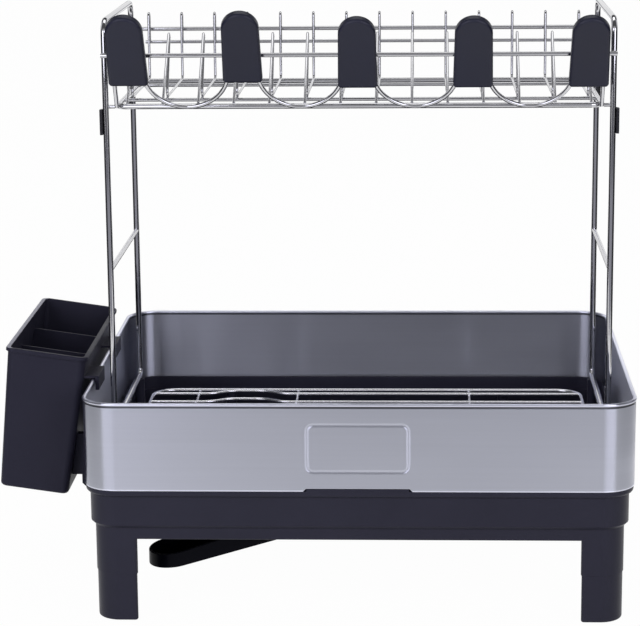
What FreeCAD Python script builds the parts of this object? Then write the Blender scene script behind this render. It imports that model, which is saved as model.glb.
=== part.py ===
import FreeCAD, Part
import Sketcher
import math
import os

# Two-tier dish drying rack.
# A charcoal plastic drip tray stands on four plug-in legs and drains through a swivelling spout.
# A stainless steel band sits on the tray and walls in the lower dish space.
# Two chrome wire side frames stand in the tray and carry a chrome wire shelf with plate
# tines and a row of cup posts in silicone sleeves.  A utensil holder hooks on the band.
#
# Frame: origin on the table under the middle of the whole rack's outline, +Z up, +X to the
# right and -Y towards the person using it.  Millimetres.  The pieces are drawn about the tray's
# centre and moved to the origin at the end.

doc = FreeCAD.newDocument("DishRack")
Vector = FreeCAD.Vector

# ---------------------------------------------------------------- driving dimensions
SIZES = [
    # steel band
    ("band_width", 440.0, "outside width of the steel band"),
    ("band_depth", 340.0, "outside depth of the steel band"),
    ("band_corner", 27.0, "outside plan radius of the band's corners"),
    ("band_sheet", 0.8, "sheet thickness of the band"),
    ("band_seat", 111.1, "height of the band's lower edge above the table"),
    ("band_height", 72.0, "height of the band"),
    ("hem_width", 2.4, "width of the band's lower edge, folded inwards"),
    ("rim_bead", 3.0, "height and width of the rolled rim"),
    ("rim_proud", 0.6, "how far the rolled rim stands out from the band"),
    ("notch_width", 82.0, "width of the locating notch in the band's lower edge"),
    ("notch_height", 2.4, "height of the locating notch"),
    ("panel_width", 82.0, "width of the bare pressed panel outline"),
    ("panel_height", 40.0, "height of the pressed panel outline"),
    ("panel_corner", 6.0, "corner radius of the pressed panel outline"),
    ("panel_line", 1.8, "width of the pressed line"),
    ("panel_depth", 0.35, "depth of the pressed line"),
    # drip tray
    ("seat_gap", 0.3, "clearance between the tray and the pieces that sit in or on it"),
    ("lip_inset", 0.6, "tray lip set in from the band's outside face"),
    ("lip_height", 5.5, "height of the tray lip"),
    ("lip_round", 3.0, "rounding under the tray lip"),
    ("skirt_inset", 4.0, "tray skirt set in from the band's outside face"),
    ("skirt_chamfer", 3.0, "sloping face under the skirt"),
    ("base_inset", 7.5, "lower tray wall and legs set in from the band's outside face"),
    ("base_height", 9.5, "height of the lower tray wall"),
    ("base_clearance", 68.7, "tray's lower edge above the table"),
    ("tray_wall", 2.4, "wall thickness of the tray"),
    ("upstand_height", 10.0, "tray wall standing up inside the band"),
    ("ledge_drop", 1.0, "inner ledge below the band's seat"),
    ("floor_drop", 14.0, "edge of the tray floor below the band's seat"),
    ("floor_fall", 3.5, "fall of the tray floor from its edge to the sump"),
    ("floor_thickness", 2.5, "thickness of the tray floor at the sump"),
    ("sump_width", 70.0, "flat sump around the drain"),
    # legs
    ("leg_width", 35.0, "length of a leg's front arm, along X"),
    ("leg_depth", 44.0, "length of a leg's side arm, along Y"),
    ("leg_wall", 7.0, "thickness of a leg's two arms"),
    ("leg_skin", 2.0, "wall around the slot that takes a leg's plug"),
    ("leg_corner", 3.0, "small corner radius of the legs"),
    ("leg_joint", 39.5, "height of the joint between leg and tray"),
    ("leg_step", 0.6, "plug-in leg set in from the stub above it"),
    ("leg_round", 1.6, "rounding of the leg's lower edge"),
    ("tenon_height", 18.0, "height of the plug on top of the leg"),
    # drain and spout
    ("outlet_radius", 14.0, "outside radius of the drain outlet tube"),
    ("outlet_bore", 11.0, "radius of the drain bore"),
    ("outlet_drop", 15.2, "outlet tube below the tray's lower edge"),
    ("boss_radius", 19.0, "radius of the boss around the outlet"),
    ("boss_drop", 3.0, "boss below the tray's lower edge"),
    ("seal_thickness", 1.6, "thickness of the spout's seal washer"),
    ("collar_thickness", 4.0, "thickness of the spout's collar"),
    ("clip_ring_thickness", 2.0, "thickness of the spout's retaining ring"),
    ("clip_groove", 1.0, "depth of the retaining ring's groove"),
    ("pivot_gap", 0.06, "running clearance of the spout on the outlet tube"),
    ("spout_length", 182.0, "spout pivot to the centre of its rounded tip"),
    ("spout_width", 40.0, "outside width of the spout"),
    ("spout_wall", 2.0, "wall thickness of the spout"),
    ("spout_depth", 17.5, "depth of the spout at its pivot"),
    ("spout_lip_fall", 25.0, "fall of the spout's rim from pivot to tip"),
    ("spout_floor_fall", 19.0, "fall of the spout's underside from pivot to tip"),
    ("spout_angle", 31.0, "direction of the spout at rest, turned from -X towards -Y"),
    # lower dish grid
    ("grid_height", 113.1, "height of the grid's frame wire"),
    ("grid_wire", 3.5, "diameter of the grid's frame wire"),
    ("grid_bar", 3.0, "diameter of the grid's inner wires"),
    ("grid_margin", 18.6, "gap between the basin's wall and the grid's frame wire, along Y"),
    ("grid_side_gap", 0.5, "gap between the grid's frame wire and the pin columns"),
    ("grid_corner", 22.0, "bend radius of the grid's corners"),
    ("grid_bar_margin", 14.0, "first cross wire in from the frame wire"),
    ("grid_bar_count", 10, "number of cross wires"),
    ("rest_radius", 5.0, "radius of the pads that the grid rests on"),
    ("rest_spread", 125.0, "front and rear pads from the middle, clear of the depth wires"),
    ("bay_left", 154.0, "left depth wire, from the middle"),
    ("bay_middle", 63.0, "middle depth wire, left of the middle"),
    ("bay_right", 94.0, "right depth wire, from the middle"),
    ("bow_margin", 12.0, "bowed stretch of a cross wire starts this far from the depth wires"),
    ("bow_rise", 11.0, "how far a cross wire bows to the rear"),
    ("bow_bend", 24.0, "bend radius of the bowed stretch"),
    # side frames
    ("post_wire", 5.0, "diameter of the side frame wire"),
    ("post_inset", 17.8, "side frame set in from the band's outside face"),
    ("post_setback", 4.5, "posts beyond the shelf's front and rear wires"),
    ("frame_foot", 142.6, "height of the side frame's lower bar"),
    ("frame_top", 475.1, "height of the side frame's upper bar"),
    ("frame_corner", 12.0, "bend radius at the top of the side frame"),
    ("frame_heel", 6.0, "bend radius at the bottom of the side frame"),
    ("brace_height", 273.7, "height of the side frame's middle bar"),
    ("brace_wire", 4.0, "diameter of the middle bar"),
    ("pin_length", 22.0, "pins below the side frame's lower bar"),
    ("column_radius", 4.4, "radius of the tray columns that hold the pins"),
    ("pin_gap", 0.35, "clearance around a pin in its column"),
    ("weld_sink", 0.3, "how deep welded wires run into each other"),
    # shelf
    ("shelf_height", 406.7, "height of the shelf's frame wire"),
    ("shelf_wire", 4.5, "diameter of the shelf's frame wire"),
    ("shelf_side_gap", 8.95, "side frame to the shelf's end wire, centre to centre"),
    ("shelf_depth", 169.0, "front wire to rear wire of the shelf, centre to centre"),
    ("shelf_corner", 8.0, "bend radius of the shelf's corners"),
    ("shelf_bar", 3.0, "diameter of the shelf's two cross wires"),
    ("shelf_bar_offset", 49.0, "cross wires from the shelf's centre line"),
    ("stub_wire", 3.0, "diameter of the stubs that join the shelf to the posts"),
    ("front_rail_height", 448.4, "height of the front tie rail"),
    ("rear_rail_height", 451.4, "height of the rear tie rail"),
    ("tie_wire", 3.6, "diameter of the tie rails"),
    ("back_rail_height", 441.1, "height of the rail that ends the rear tines"),
    ("back_rail_wire", 3.0, "diameter of that rail"),
    ("tine_wire", 2.2, "diameter of the tine wires"),
    ("tine_count", 14, "number of tine wires"),
    ("tine_margin", 8.0, "end wire to the first tine wire"),
    ("tine_tip", 4.6, "width of a tine's tip, centre to centre"),
    ("tine_bend", 2.2, "bend radius of a tine's tip"),
    ("front_tine_rise", 48.5, "rise of the front tines above the shelf wires"),
    ("front_tine_lean", 58.5, "front tine's tip behind its foot"),
    ("front_tine_base", 31.5, "front tine's rear leg behind its front foot"),
    ("rear_tine_setback", 8.5, "rear tine in front of the shelf's rear wire"),
    ("rear_tine_rise", 56.5, "rise of the rear tines above the shelf wires"),
    # cup posts
    ("cup_count", 5, "number of cup posts"),
    ("cup_wire", 3.5, "diameter of the cup wire"),
    ("cup_crest", 11.3, "centre radius of the cup wire's crests"),
    ("cup_rise", 80.5, "length of the cup wire along its slope"),
    ("cup_tilt", 28.0, "forward tilt of the cup wire"),
    ("sleeve_length", 64.5, "length of a silicone sleeve"),
    ("sleeve_top_width", 29.6, "width of a sleeve at its top"),
    ("sleeve_foot_width", 31.6, "width of a sleeve at its lower edge"),
    ("sleeve_thickness", 8.6, "thickness of a sleeve"),
    ("sleeve_edge", 3.2, "edge rounding of a sleeve"),
    ("sleeve_gap", 0.15, "gap between the cup wire and a sleeve"),
    # shelf clips
    ("clip_height", 20.5, "height of a shelf clip"),
    ("clip_wall", 2.4, "thickness of a shelf clip"),
    ("clip_arm", 9.0, "length of a shelf clip's outer arm"),
    ("clip_sweep", 100.0, "reach of a clip's ring around its post, in degrees"),
    ("clip_gap", 0.05, "gap between a post and its clip"),
    # utensil holder
    ("holder_width", 64.9, "holder's outside width at the top"),
    ("holder_foot_width", 57.0, "holder's outside width at the bottom"),
    ("holder_length", 193.5, "holder's outside length at the top"),
    ("holder_foot_length", 187.5, "holder's outside length at the bottom"),
    ("holder_height", 119.0, "holder's height"),
    ("holder_foot_shift", 1.6, "holder's bottom centre towards the band"),
    ("holder_wall", 2.0, "wall thickness of the holder"),
    ("holder_corner", 6.0, "corner radius of the holder"),
    ("holder_lip", 1.6, "lip around the holder's mouth"),
    ("holder_lip_height", 3.2, "height of that lip"),
    ("holder_tilt", 8.1, "lean of the holder's top towards the rack"),
    ("holder_gap", 3.6, "holder's lip to the band's rim, along X"),
    ("holder_rise", 18.8, "inner edge of the holder's mouth above the band's rim"),
    ("divider_drop", 13.0, "dividers below the holder's mouth"),
    ("divider_wall", 1.8, "thickness of a divider"),
    ("hook_width", 36.0, "width of a hook along the rim"),
    ("hook_thickness", 3.0, "thickness of a hook's lip inside the band"),
    ("hook_drop", 9.5, "hook's lip below the top of the band's rim"),
    ("hook_plate", 1.8, "thickness of a hook where it crosses the rim"),
    ("hook_front", 72.5, "front hook, in front of the middle"),
    ("hook_rear", 36.0, "rear hook, behind the middle"),
    ("rib_width", 8.0, "width of a spacer rib"),
    ("rib_height", 35.0, "height of a spacer rib"),
    ("rib_drop", 13.0, "spacer rib below the band's lower edge"),
    ("rib_spread", 75.0, "spacer ribs from the holder's middle"),
    ("toe_reach", 11.4, "width of the toe that hangs below a rib beside the band"),
    ("toe_drop", 10.0, "drop of that toe"),
    ("toe_bevel", 2.5, "bevel on the toe's outer corner"),
    ("drain_hole", 3.0, "radius of the holder's drain holes"),
]

sheet = doc.addObject("Spreadsheet::Sheet", "Sizes")
for row, (alias, number, note) in enumerate(SIZES, start=1):
    sheet.set(f"A{row}", str(number))
    sheet.setAlias(f"A{row}", alias)
    sheet.set(f"B{row}", note)
doc.recompute()


def value(expression):
    """The number that an expression of sheet sizes gives."""
    return float(sheet.evalExpression(expression))


# Levels and places worked out from the sheet, as expressions that features are bound to.
RIM_TOP = "(Sizes.band_seat + Sizes.band_height)"
BASE_TOP = "(Sizes.base_clearance + Sizes.base_height)"
FLOOR_EDGE = "(Sizes.band_seat - Sizes.floor_drop)"
FLOOR_SUMP = f"({FLOOR_EDGE} - Sizes.floor_fall)"
FLOOR_UNDER = f"({FLOOR_SUMP} - Sizes.floor_thickness)"
UPSTAND_INSET = "(Sizes.hem_width + Sizes.seat_gap)"
BASIN_INSET = "(Sizes.skirt_inset + Sizes.tray_wall)"
POST_X = "(Sizes.band_width / 2 - Sizes.post_inset)"
POST_Y = "(Sizes.shelf_depth / 2 + Sizes.post_setback)"
PIN_Y = f"({POST_Y} - Sizes.frame_heel)"
PIN_FOOT = "(Sizes.frame_foot - Sizes.pin_length)"
COLUMN_TOP = "(Sizes.frame_foot - Sizes.post_wire / 2 - Sizes.seat_gap)"
SEAL_TOP = "(Sizes.base_clearance - Sizes.boss_drop)"
COLLAR_TOP = f"({SEAL_TOP} - Sizes.seal_thickness - Sizes.seat_gap)"
CLIP_RING_TOP = f"({COLLAR_TOP} - Sizes.collar_thickness - Sizes.seat_gap)"
OUTLET_FOOT = "(Sizes.base_clearance - Sizes.outlet_drop)"
GRID_X = f"({POST_X} - Sizes.column_radius - Sizes.grid_side_gap - Sizes.grid_wire / 2)"
GRID_Y = f"(Sizes.band_depth / 2 - {BASIN_INSET} - Sizes.grid_margin)"
REST_TOP = "(Sizes.grid_height - Sizes.grid_wire / 2 - Sizes.seat_gap)"
SHELF_X = f"({POST_X} - Sizes.shelf_side_gap)"
SHELF_Y = "(Sizes.shelf_depth / 2)"
TINE_FLOOR = "(Sizes.shelf_height + (Sizes.shelf_wire + Sizes.tine_wire) / 2 - Sizes.weld_sink)"
SHELF_BAR_Z = f"({TINE_FLOOR} - (Sizes.tine_wire + Sizes.shelf_bar) / 2 + Sizes.weld_sink)"
TIE_Y = f"({POST_Y} + (Sizes.post_wire + Sizes.tie_wire) / 2 - Sizes.weld_sink)"
CUP_Y = f"({SHELF_Y} + (Sizes.shelf_wire + Sizes.cup_wire) / 2 - Sizes.weld_sink)"

pieces = []


def keep(label, piece):
    """Give a finished sub-part its own label and put it on the list of pieces to write."""
    piece.Label = label
    pieces.append(piece)
    return piece


def fresh(stem):
    """An unused internal name that starts with the stem."""
    return doc.getUniqueObjectName(stem)


# ---------------------------------------------------------------- sketch and feature helpers
def new_body(label):
    return keep(label, doc.addObject("PartDesign::Body", fresh(label)))


def origin_item(body, role):
    """A body's own origin plane or axis, such as XY_Plane or X_Axis."""
    return next(item for item in body.Origin.OriginFeatures if item.Role == role)


def new_sketch(body, role, offset="0"):
    """A sketch on one of the body's origin planes, moved along its normal by an expression."""
    sketch = body.newObject("Sketcher::SketchObject", fresh("Sketch"))
    sketch.AttachmentSupport = (origin_item(body, role), [""])
    sketch.MapMode = "FlatFace"
    sketch.setExpression("AttachmentOffset.Base.z", offset)
    sketch.recompute()
    return sketch


def bind(sketch, kind, geometry, expression):
    """Add a dimension to a sketch and tie it to an expression.  A distance is always positive."""
    sketch.addConstraint(Sketcher.Constraint(kind, *geometry, value(expression)))
    sketch.setExpression(f"Constraints[{sketch.ConstraintCount - 1}]", expression)


def draw_rectangle(sketch, width, depth, radii, centre=("0", "0")):
    """Rounded rectangle.  radii are four expressions, counter-clockwise from lower left."""
    middle = Vector(value(centre[0]), value(centre[1]), 0)
    half = (value(width) / 2, value(depth) / 2)
    first = sketch.GeometryCount
    corners = []
    for (sign_x, sign_y), radius in zip(((-1, -1), (1, -1), (1, 1), (-1, 1)), radii):
        bend = value(radius)
        corner = middle + Vector(sign_x * (half[0] - bend), sign_y * (half[1] - bend), 0)
        corners.append((corner, bend, math.atan2(sign_y, sign_x) - math.pi / 4))
    for centre_point, bend, start in corners:
        circle = Part.Circle(centre_point, Vector(0, 0, 1), bend)
        sketch.addGeometry(Part.ArcOfCircle(circle, start, start + math.pi / 2))
    for index in range(4):
        arc_end = sketch.getPoint(first + index, 2)
        next_start = sketch.getPoint(first + (index + 1) % 4, 1)
        sketch.addGeometry(Part.LineSegment(arc_end, next_start))
    for index in range(4):
        line = first + 4 + index
        sketch.addConstraint(Sketcher.Constraint("Tangent", first + index, 2, line, 1))
        sketch.addConstraint(Sketcher.Constraint("Tangent", line, 2, first + (index + 1) % 4, 1))
        sketch.addConstraint(Sketcher.Constraint("Vertical" if index % 2 else "Horizontal", line))
        bind(sketch, "Radius", (first + index,), radii[index])
    lower, right, upper, left = range(first + 4, first + 8)
    bind(sketch, "DistanceX", (left, 1, right, 1), width)
    bind(sketch, "DistanceY", (lower, 1, upper, 1), depth)
    place_line(sketch, "DistanceX", right, f"{centre[0]} + ({width}) / 2")
    place_line(sketch, "DistanceY", upper, f"{centre[1]} + ({depth}) / 2")


def place_line(sketch, kind, line, expression):
    """Fix a line's distance from the sketch origin, on whichever side of it the line lies."""
    if value(expression) >= 0:
        bind(sketch, kind, (-1, 1, line, 1), expression)
    else:
        bind(sketch, kind, (line, 1, -1, 1), f"-({expression})")


def draw_circle(sketch, radius, centre=("0", "0")):
    """Circle tied to its radius and to its centre's place."""
    middle = Vector(value(centre[0]), value(centre[1]), 0)
    index = sketch.addGeometry(Part.Circle(middle, Vector(0, 0, 1), value(radius)))
    bind(sketch, "Radius", (index,), radius)
    for kind, place in (("DistanceX", centre[0]), ("DistanceY", centre[1])):
        if value(place) >= 0:
            bind(sketch, kind, (-1, 1, index, 3), place)
        else:
            bind(sketch, kind, (index, 3, -1, 1), f"-({place})")


def draw_polygon(sketch, corners):
    """Closed outline through corner points given in the sketch's own plane."""
    points = [Vector(x, y, 0) for x, y in corners]
    for start, end in zip(points, points[1:] + points[:1]):
        sketch.addGeometry(Part.LineSegment(start, end))


def draw_bent_wire(sketch, corners, bends, closed=False):
    """Centre line of a bent wire: straight runs joined by tangent arcs at the corners."""
    points = [Vector(x, y, 0) for x, y in corners]
    count = len(points)
    joints = []
    for index, bend in enumerate(bends):
        here = points[index]
        if not bend:
            joints.append((here, here, None))
            continue
        back = (points[index - 1] - here).normalize()
        ahead = (points[(index + 1) % count] - here).normalize()
        half_angle = back.getAngle(ahead) / 2
        reach = bend / math.tan(half_angle)
        inward = (back + ahead).normalize()
        middle = here + inward * (bend / math.sin(half_angle) - bend)
        start, end = here + back * reach, here + ahead * reach
        joints.append((start, end, Part.Arc(start, middle, end)))
    for index, (_, leave, arc) in enumerate(joints):
        if arc:
            sketch.addGeometry(arc)
        if closed or index < count - 1:
            arrive = joints[(index + 1) % count][0]
            if (arrive - leave).Length > 1e-6:
                sketch.addGeometry(Part.LineSegment(leave, arrive))


def pad(body, sketch, length, reverse=False, symmetric=False):
    feature = body.newObject("PartDesign::Pad", fresh("Pad"))
    feature.Profile = sketch
    feature.Reversed = reverse
    feature.Midplane = symmetric
    feature.setExpression("Length", length)
    feature.recompute()
    return feature


def pocket(body, sketch, length, reverse=False, symmetric=False):
    """Cut a sketch out of the body, and stop if the cut takes nothing away."""
    before = body.Tip.Shape.Volume
    feature = body.newObject("PartDesign::Pocket", fresh("Pocket"))
    feature.Profile = sketch
    feature.Reversed = reverse
    feature.Midplane = symmetric
    feature.setExpression("Length", length)
    feature.recompute()
    if not feature.Shape.Volume < before - 1e-3:
        raise RuntimeError(f"{body.Label}: {feature.Name} cuts nothing")
    return feature


def loft(body, kind, lower, upper):
    feature = body.newObject(kind, fresh("Loft"))
    feature.Profile = lower
    feature.Sections = [upper]
    feature.Ruled = True
    feature.recompute()
    return feature


def dress_edges(body, kind, wanted, setting, amount):
    """Fillet or chamfer the edges of the body's tip whose boxes pass the test."""
    base = body.Tip
    names = [f"Edge{number}" for number, edge in enumerate(base.Shape.Edges, start=1)
             if wanted(edge.BoundBox)]
    feature = body.newObject(kind, fresh("Edges"))
    feature.Base = (base, names)
    feature.setExpression(setting, amount)
    feature.recompute()
    return feature


def round_edges(body, wanted, radius):
    return dress_edges(body, "PartDesign::Fillet", wanted, "Radius", radius)


def slope_edges(body, wanted, width):
    return dress_edges(body, "PartDesign::Chamfer", wanted, "Size", width)


def level(edge_box, height):
    """True when an edge lies flat at a height."""
    return abs(edge_box.ZMin - height) < 0.01 and abs(edge_box.ZMax - height) < 0.01


def outside(edge_box, half_x, half_y):
    """True when an edge lies on or beyond a rectangle's sides."""
    reach_x = max(abs(edge_box.XMin), abs(edge_box.XMax))
    reach_y = max(abs(edge_box.YMin), abs(edge_box.YMax))
    return reach_x > half_x - 0.01 or reach_y > half_y - 0.01


def bent_wire(body, role, place, corners, bends, diameter, closed=False):
    """Sweep a round wire along a bent centre line in one of the body's planes.

    The centre line starts on a run along one of the sketch's axes, square to the section.
    """
    path = new_sketch(body, role, place)
    draw_bent_wire(path, corners, bends, closed)
    path.recompute()
    first, second = (Vector(*corners[0], 0), Vector(*corners[1], 0))
    begin = path.Placement.multVec(first)
    ahead = path.Placement.Rotation.multVec(second - first).normalize()
    section_role, centre, offset = section_frame(begin, ahead)
    section = new_sketch(body, section_role, str(offset))
    index = section.addGeometry(Part.Circle(centre, Vector(0, 0, 1), value(diameter) / 2))
    bind(section, "Diameter", (index,), diameter)
    section.recompute()
    pipe = body.newObject("PartDesign::AdditivePipe", fresh("Wire"))
    pipe.Profile = section
    pipe.Spine = path
    pipe.recompute()
    return pipe


def section_frame(begin, ahead):
    """Origin plane square to a run, with the run's start in that plane's own coordinates."""
    if abs(ahead.z) > 0.999:
        return "XY_Plane", Vector(begin.x, begin.y, 0), begin.z
    if abs(ahead.x) > 0.999:
        return "YZ_Plane", Vector(begin.y, begin.z, 0), begin.x
    return "XZ_Plane", Vector(begin.x, begin.z, 0), -begin.y


def repeat(body, feature, axis, length, count):
    """Repeat a feature in a row and make the row the body's tip."""
    row = body.newObject("PartDesign::LinearPattern", fresh("Row"))
    row.Originals = [feature]
    row.Direction = (origin_item(body, axis), [""])
    row.setExpression("Length", length)
    row.setExpression("Occurrences", count)
    body.Tip = row
    row.recompute()
    return row


def inset_outline(sketch, inset):
    """The band's plan outline, set in by an expression."""
    radius = f"Sizes.band_corner - {inset}"
    width = f"Sizes.band_width - 2 * {inset}"
    depth = f"Sizes.band_depth - 2 * {inset}"
    draw_rectangle(sketch, width, depth, [radius] * 4)


def inset_sketch(body, inset, height):
    sketch = new_sketch(body, "XY_Plane", height)
    inset_outline(sketch, inset)
    sketch.recompute()
    return sketch


QUADRANTS = ((-1, -1), (1, -1), (1, 1), (-1, 1))


def signed(sign, expression):
    return expression if sign > 0 else f"-{expression}"


def draw_leg(sketch, quadrant, inset):
    """Plan of one angle-shaped leg: its outer corner follows the tray's, its ends are small."""
    shrink = value(inset)
    corner_x = value("Sizes.band_width / 2 - Sizes.base_inset")
    corner_y = value("Sizes.band_depth / 2 - Sizes.base_inset")
    wall = value("Sizes.leg_wall") - shrink
    reach_x = value("Sizes.leg_width") - shrink
    reach_y = value("Sizes.leg_depth") - shrink
    outer_bend = value("Sizes.band_corner - Sizes.base_inset") - shrink
    inner_bend = outer_bend + shrink - wall
    end_bend = min(value("Sizes.leg_corner"), (wall - shrink) * 0.45)
    outline = [(shrink, shrink), (reach_x, shrink), (reach_x, wall), (wall, wall),
               (wall, reach_y), (shrink, reach_y)]
    corners = [(quadrant[0] * (corner_x - u), quadrant[1] * (corner_y - v)) for u, v in outline]
    bends = [outer_bend, end_bend, end_bend, inner_bend, end_bend, end_bend]
    draw_bent_wire(sketch, corners, bends, closed=True)


# ---------------------------------------------------------------- steel band
def make_steel_band():
    """Stainless sheet band: rolled rim, hemmed lower edge, locating notch, bare pressed panel."""
    body = new_body("steel_band")
    pad(body, inset_sketch(body, "0", "Sizes.band_seat"), "Sizes.band_height")
    bead = "Sizes.rim_bead"
    bead_sketch = inset_sketch(body, "(-Sizes.rim_proud)", f"{RIM_TOP} - {bead}")
    pad(body, bead_sketch, bead)
    pocket(body, inset_sketch(body, "Sizes.hem_width", "Sizes.band_seat"),
           "Sizes.band_height", reverse=True)
    pocket(body, inset_sketch(body, "Sizes.band_sheet", "Sizes.band_seat + Sizes.band_sheet"),
           f"Sizes.band_height - Sizes.band_sheet - {bead}", reverse=True)
    lip_top, lip_foot = value(RIM_TOP), value(f"{RIM_TOP} - {bead}")
    half_x, half_y = value("Sizes.band_width / 2"), value("Sizes.band_depth / 2")
    round_edges(body, lambda box: level(box, lip_top), f"{bead} * 0.45")
    round_edges(body, lambda box: level(box, lip_foot) and outside(box, half_x + 0.2, half_y + 0.2),
                "Sizes.rim_proud * 0.8")

    front = "Sizes.band_depth / 2"
    notch = new_sketch(body, "XZ_Plane", front)
    foot = value("Sizes.band_seat")
    half = value("Sizes.notch_width / 2")
    rise = value("Sizes.notch_height")
    draw_polygon(notch, [(-half - rise, foot - 1), (half + rise, foot - 1), (half + rise, foot),
                         (half, foot + rise), (-half, foot + rise), (-half - rise, foot)])
    notch.recompute()
    pocket(body, notch, "Sizes.hem_width + 0.5")

    panel = new_sketch(body, "XZ_Plane", front)
    middle = ("0", "Sizes.band_seat + Sizes.band_height * 0.49")
    line = "Sizes.panel_line"
    draw_rectangle(panel, "Sizes.panel_width", "Sizes.panel_height", ["Sizes.panel_corner"] * 4,
                   middle)
    draw_rectangle(panel, f"Sizes.panel_width - 2 * {line}", f"Sizes.panel_height - 2 * {line}",
                   [f"Sizes.panel_corner - {line}"] * 4, middle)
    panel.recompute()
    pocket(body, panel, "Sizes.panel_depth")


# ---------------------------------------------------------------- drip tray
def make_base_tray():
    """Moulded tray: skirt, lip, upstand, sloping floor, leg stubs, pin columns and outlet."""
    body = new_body("base_tray")
    pad(body, inset_sketch(body, "Sizes.base_inset", "Sizes.base_clearance"),
        "Sizes.base_height")
    skirt = inset_sketch(body, "Sizes.skirt_inset", BASE_TOP)
    pad(body, skirt, f"Sizes.band_seat - Sizes.lip_height - {BASE_TOP}")
    skirt_foot = value(BASE_TOP)
    skirt_x = value("Sizes.band_width / 2 - Sizes.skirt_inset")
    skirt_y = value("Sizes.band_depth / 2 - Sizes.skirt_inset")
    slope_edges(body, lambda box: level(box, skirt_foot) and outside(box, skirt_x, skirt_y),
                "Sizes.skirt_chamfer")
    pad(body, inset_sketch(body, "Sizes.lip_inset", "Sizes.band_seat - Sizes.lip_height"),
        "Sizes.lip_height")
    lip_foot = value("Sizes.band_seat - Sizes.lip_height")
    lip_x = value("Sizes.band_width / 2 - Sizes.lip_inset")
    lip_y = value("Sizes.band_depth / 2 - Sizes.lip_inset")
    round_edges(body, lambda box: level(box, lip_foot) and outside(box, lip_x, lip_y),
                "Sizes.lip_round")
    pad(body, inset_sketch(body, UPSTAND_INSET, "Sizes.band_seat"), "Sizes.upstand_height")
    add_key(body)
    cut_basin(body)
    hollow = inset_sketch(body, "(Sizes.base_inset + Sizes.tray_wall)", "Sizes.base_clearance")
    pocket(body, hollow, f"{FLOOR_UNDER} - Sizes.base_clearance", reverse=True)
    add_leg_stubs(body)
    add_columns(body)
    add_outlet(body)
    soften_tray(body)


def add_key(body):
    """Tab that fills the notch in the band and keeps the band the right way round."""
    sketch = new_sketch(body, "XY_Plane", "Sizes.band_seat")
    depth = f"({UPSTAND_INSET} + Sizes.tray_wall / 2)"
    width = "Sizes.notch_width - 2 * Sizes.seat_gap"
    centre = ("0", f"-(Sizes.band_depth / 2 - Sizes.band_sheet / 4 - {depth} / 2)")
    draw_rectangle(sketch, width, depth, ["Sizes.band_sheet / 2"] * 4, centre)
    sketch.recompute()
    pad(body, sketch, "Sizes.notch_height - Sizes.seat_gap")


def cut_basin(body):
    """Open the basin: a shallow step inside the upstand, straight walls and a sloping floor."""
    rim = "(Sizes.band_seat + Sizes.upstand_height)"
    ledge = "(Sizes.band_seat - Sizes.ledge_drop)"
    inner = f"({UPSTAND_INSET} + Sizes.tray_wall)"
    pocket(body, inset_sketch(body, inner, rim), f"{rim} - {ledge}")
    pocket(body, inset_sketch(body, BASIN_INSET, ledge), f"{ledge} - {FLOOR_EDGE}")
    edge = inset_sketch(body, BASIN_INSET, FLOOR_EDGE)
    sump = new_sketch(body, "XY_Plane", FLOOR_SUMP)
    draw_rectangle(sump, "Sizes.sump_width", "Sizes.sump_width", ["Sizes.band_corner / 2"] * 4)
    sump.recompute()
    before = body.Tip.Shape.Volume
    feature = loft(body, "PartDesign::SubtractiveLoft", edge, sump)
    if not feature.Shape.Volume < before:
        raise RuntimeError("the tray floor's slope cuts nothing")


def add_leg_stubs(body):
    """Slotted stubs at the corners that the plug-in legs fit into."""
    outline = new_sketch(body, "XY_Plane", "Sizes.leg_joint")
    socket = new_sketch(body, "XY_Plane", "Sizes.leg_joint")
    for quadrant in QUADRANTS:
        draw_leg(outline, quadrant, "0")
        draw_leg(socket, quadrant, "Sizes.leg_skin")
    outline.recompute()
    socket.recompute()
    pad(body, outline, f"{FLOOR_UNDER} + 0.5 - Sizes.leg_joint")
    pocket(body, socket, "Sizes.tenon_height + Sizes.leg_skin", reverse=True)


def add_columns(body):
    """Columns that hold the side frames' pins, and the pads that the dish grid rests on."""
    columns = new_sketch(body, "XY_Plane", FLOOR_UNDER)
    bores = new_sketch(body, "XY_Plane", COLUMN_TOP)
    rests = new_sketch(body, "XY_Plane", FLOOR_UNDER)
    for sign_x, sign_y in QUADRANTS:
        centre = (signed(sign_x, POST_X), signed(sign_y, PIN_Y))
        draw_circle(columns, "Sizes.column_radius", centre)
        draw_circle(bores, "Sizes.post_wire / 2 + Sizes.pin_gap", centre)
        rest = (signed(sign_x, "Sizes.rest_spread"), signed(sign_y, GRID_Y))
        draw_circle(rests, "Sizes.rest_radius", rest)
    for sign_x in (-1, 1):
        draw_circle(rests, "Sizes.rest_radius", (signed(sign_x, GRID_X), "0"))
    for sketch in (columns, bores, rests):
        sketch.recompute()
    pad(body, columns, f"{COLUMN_TOP} - {FLOOR_UNDER}")
    pocket(body, bores, f"{COLUMN_TOP} - {PIN_FOOT} + Sizes.seat_gap")
    pad(body, rests, f"{REST_TOP} - {FLOOR_UNDER}")


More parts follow.
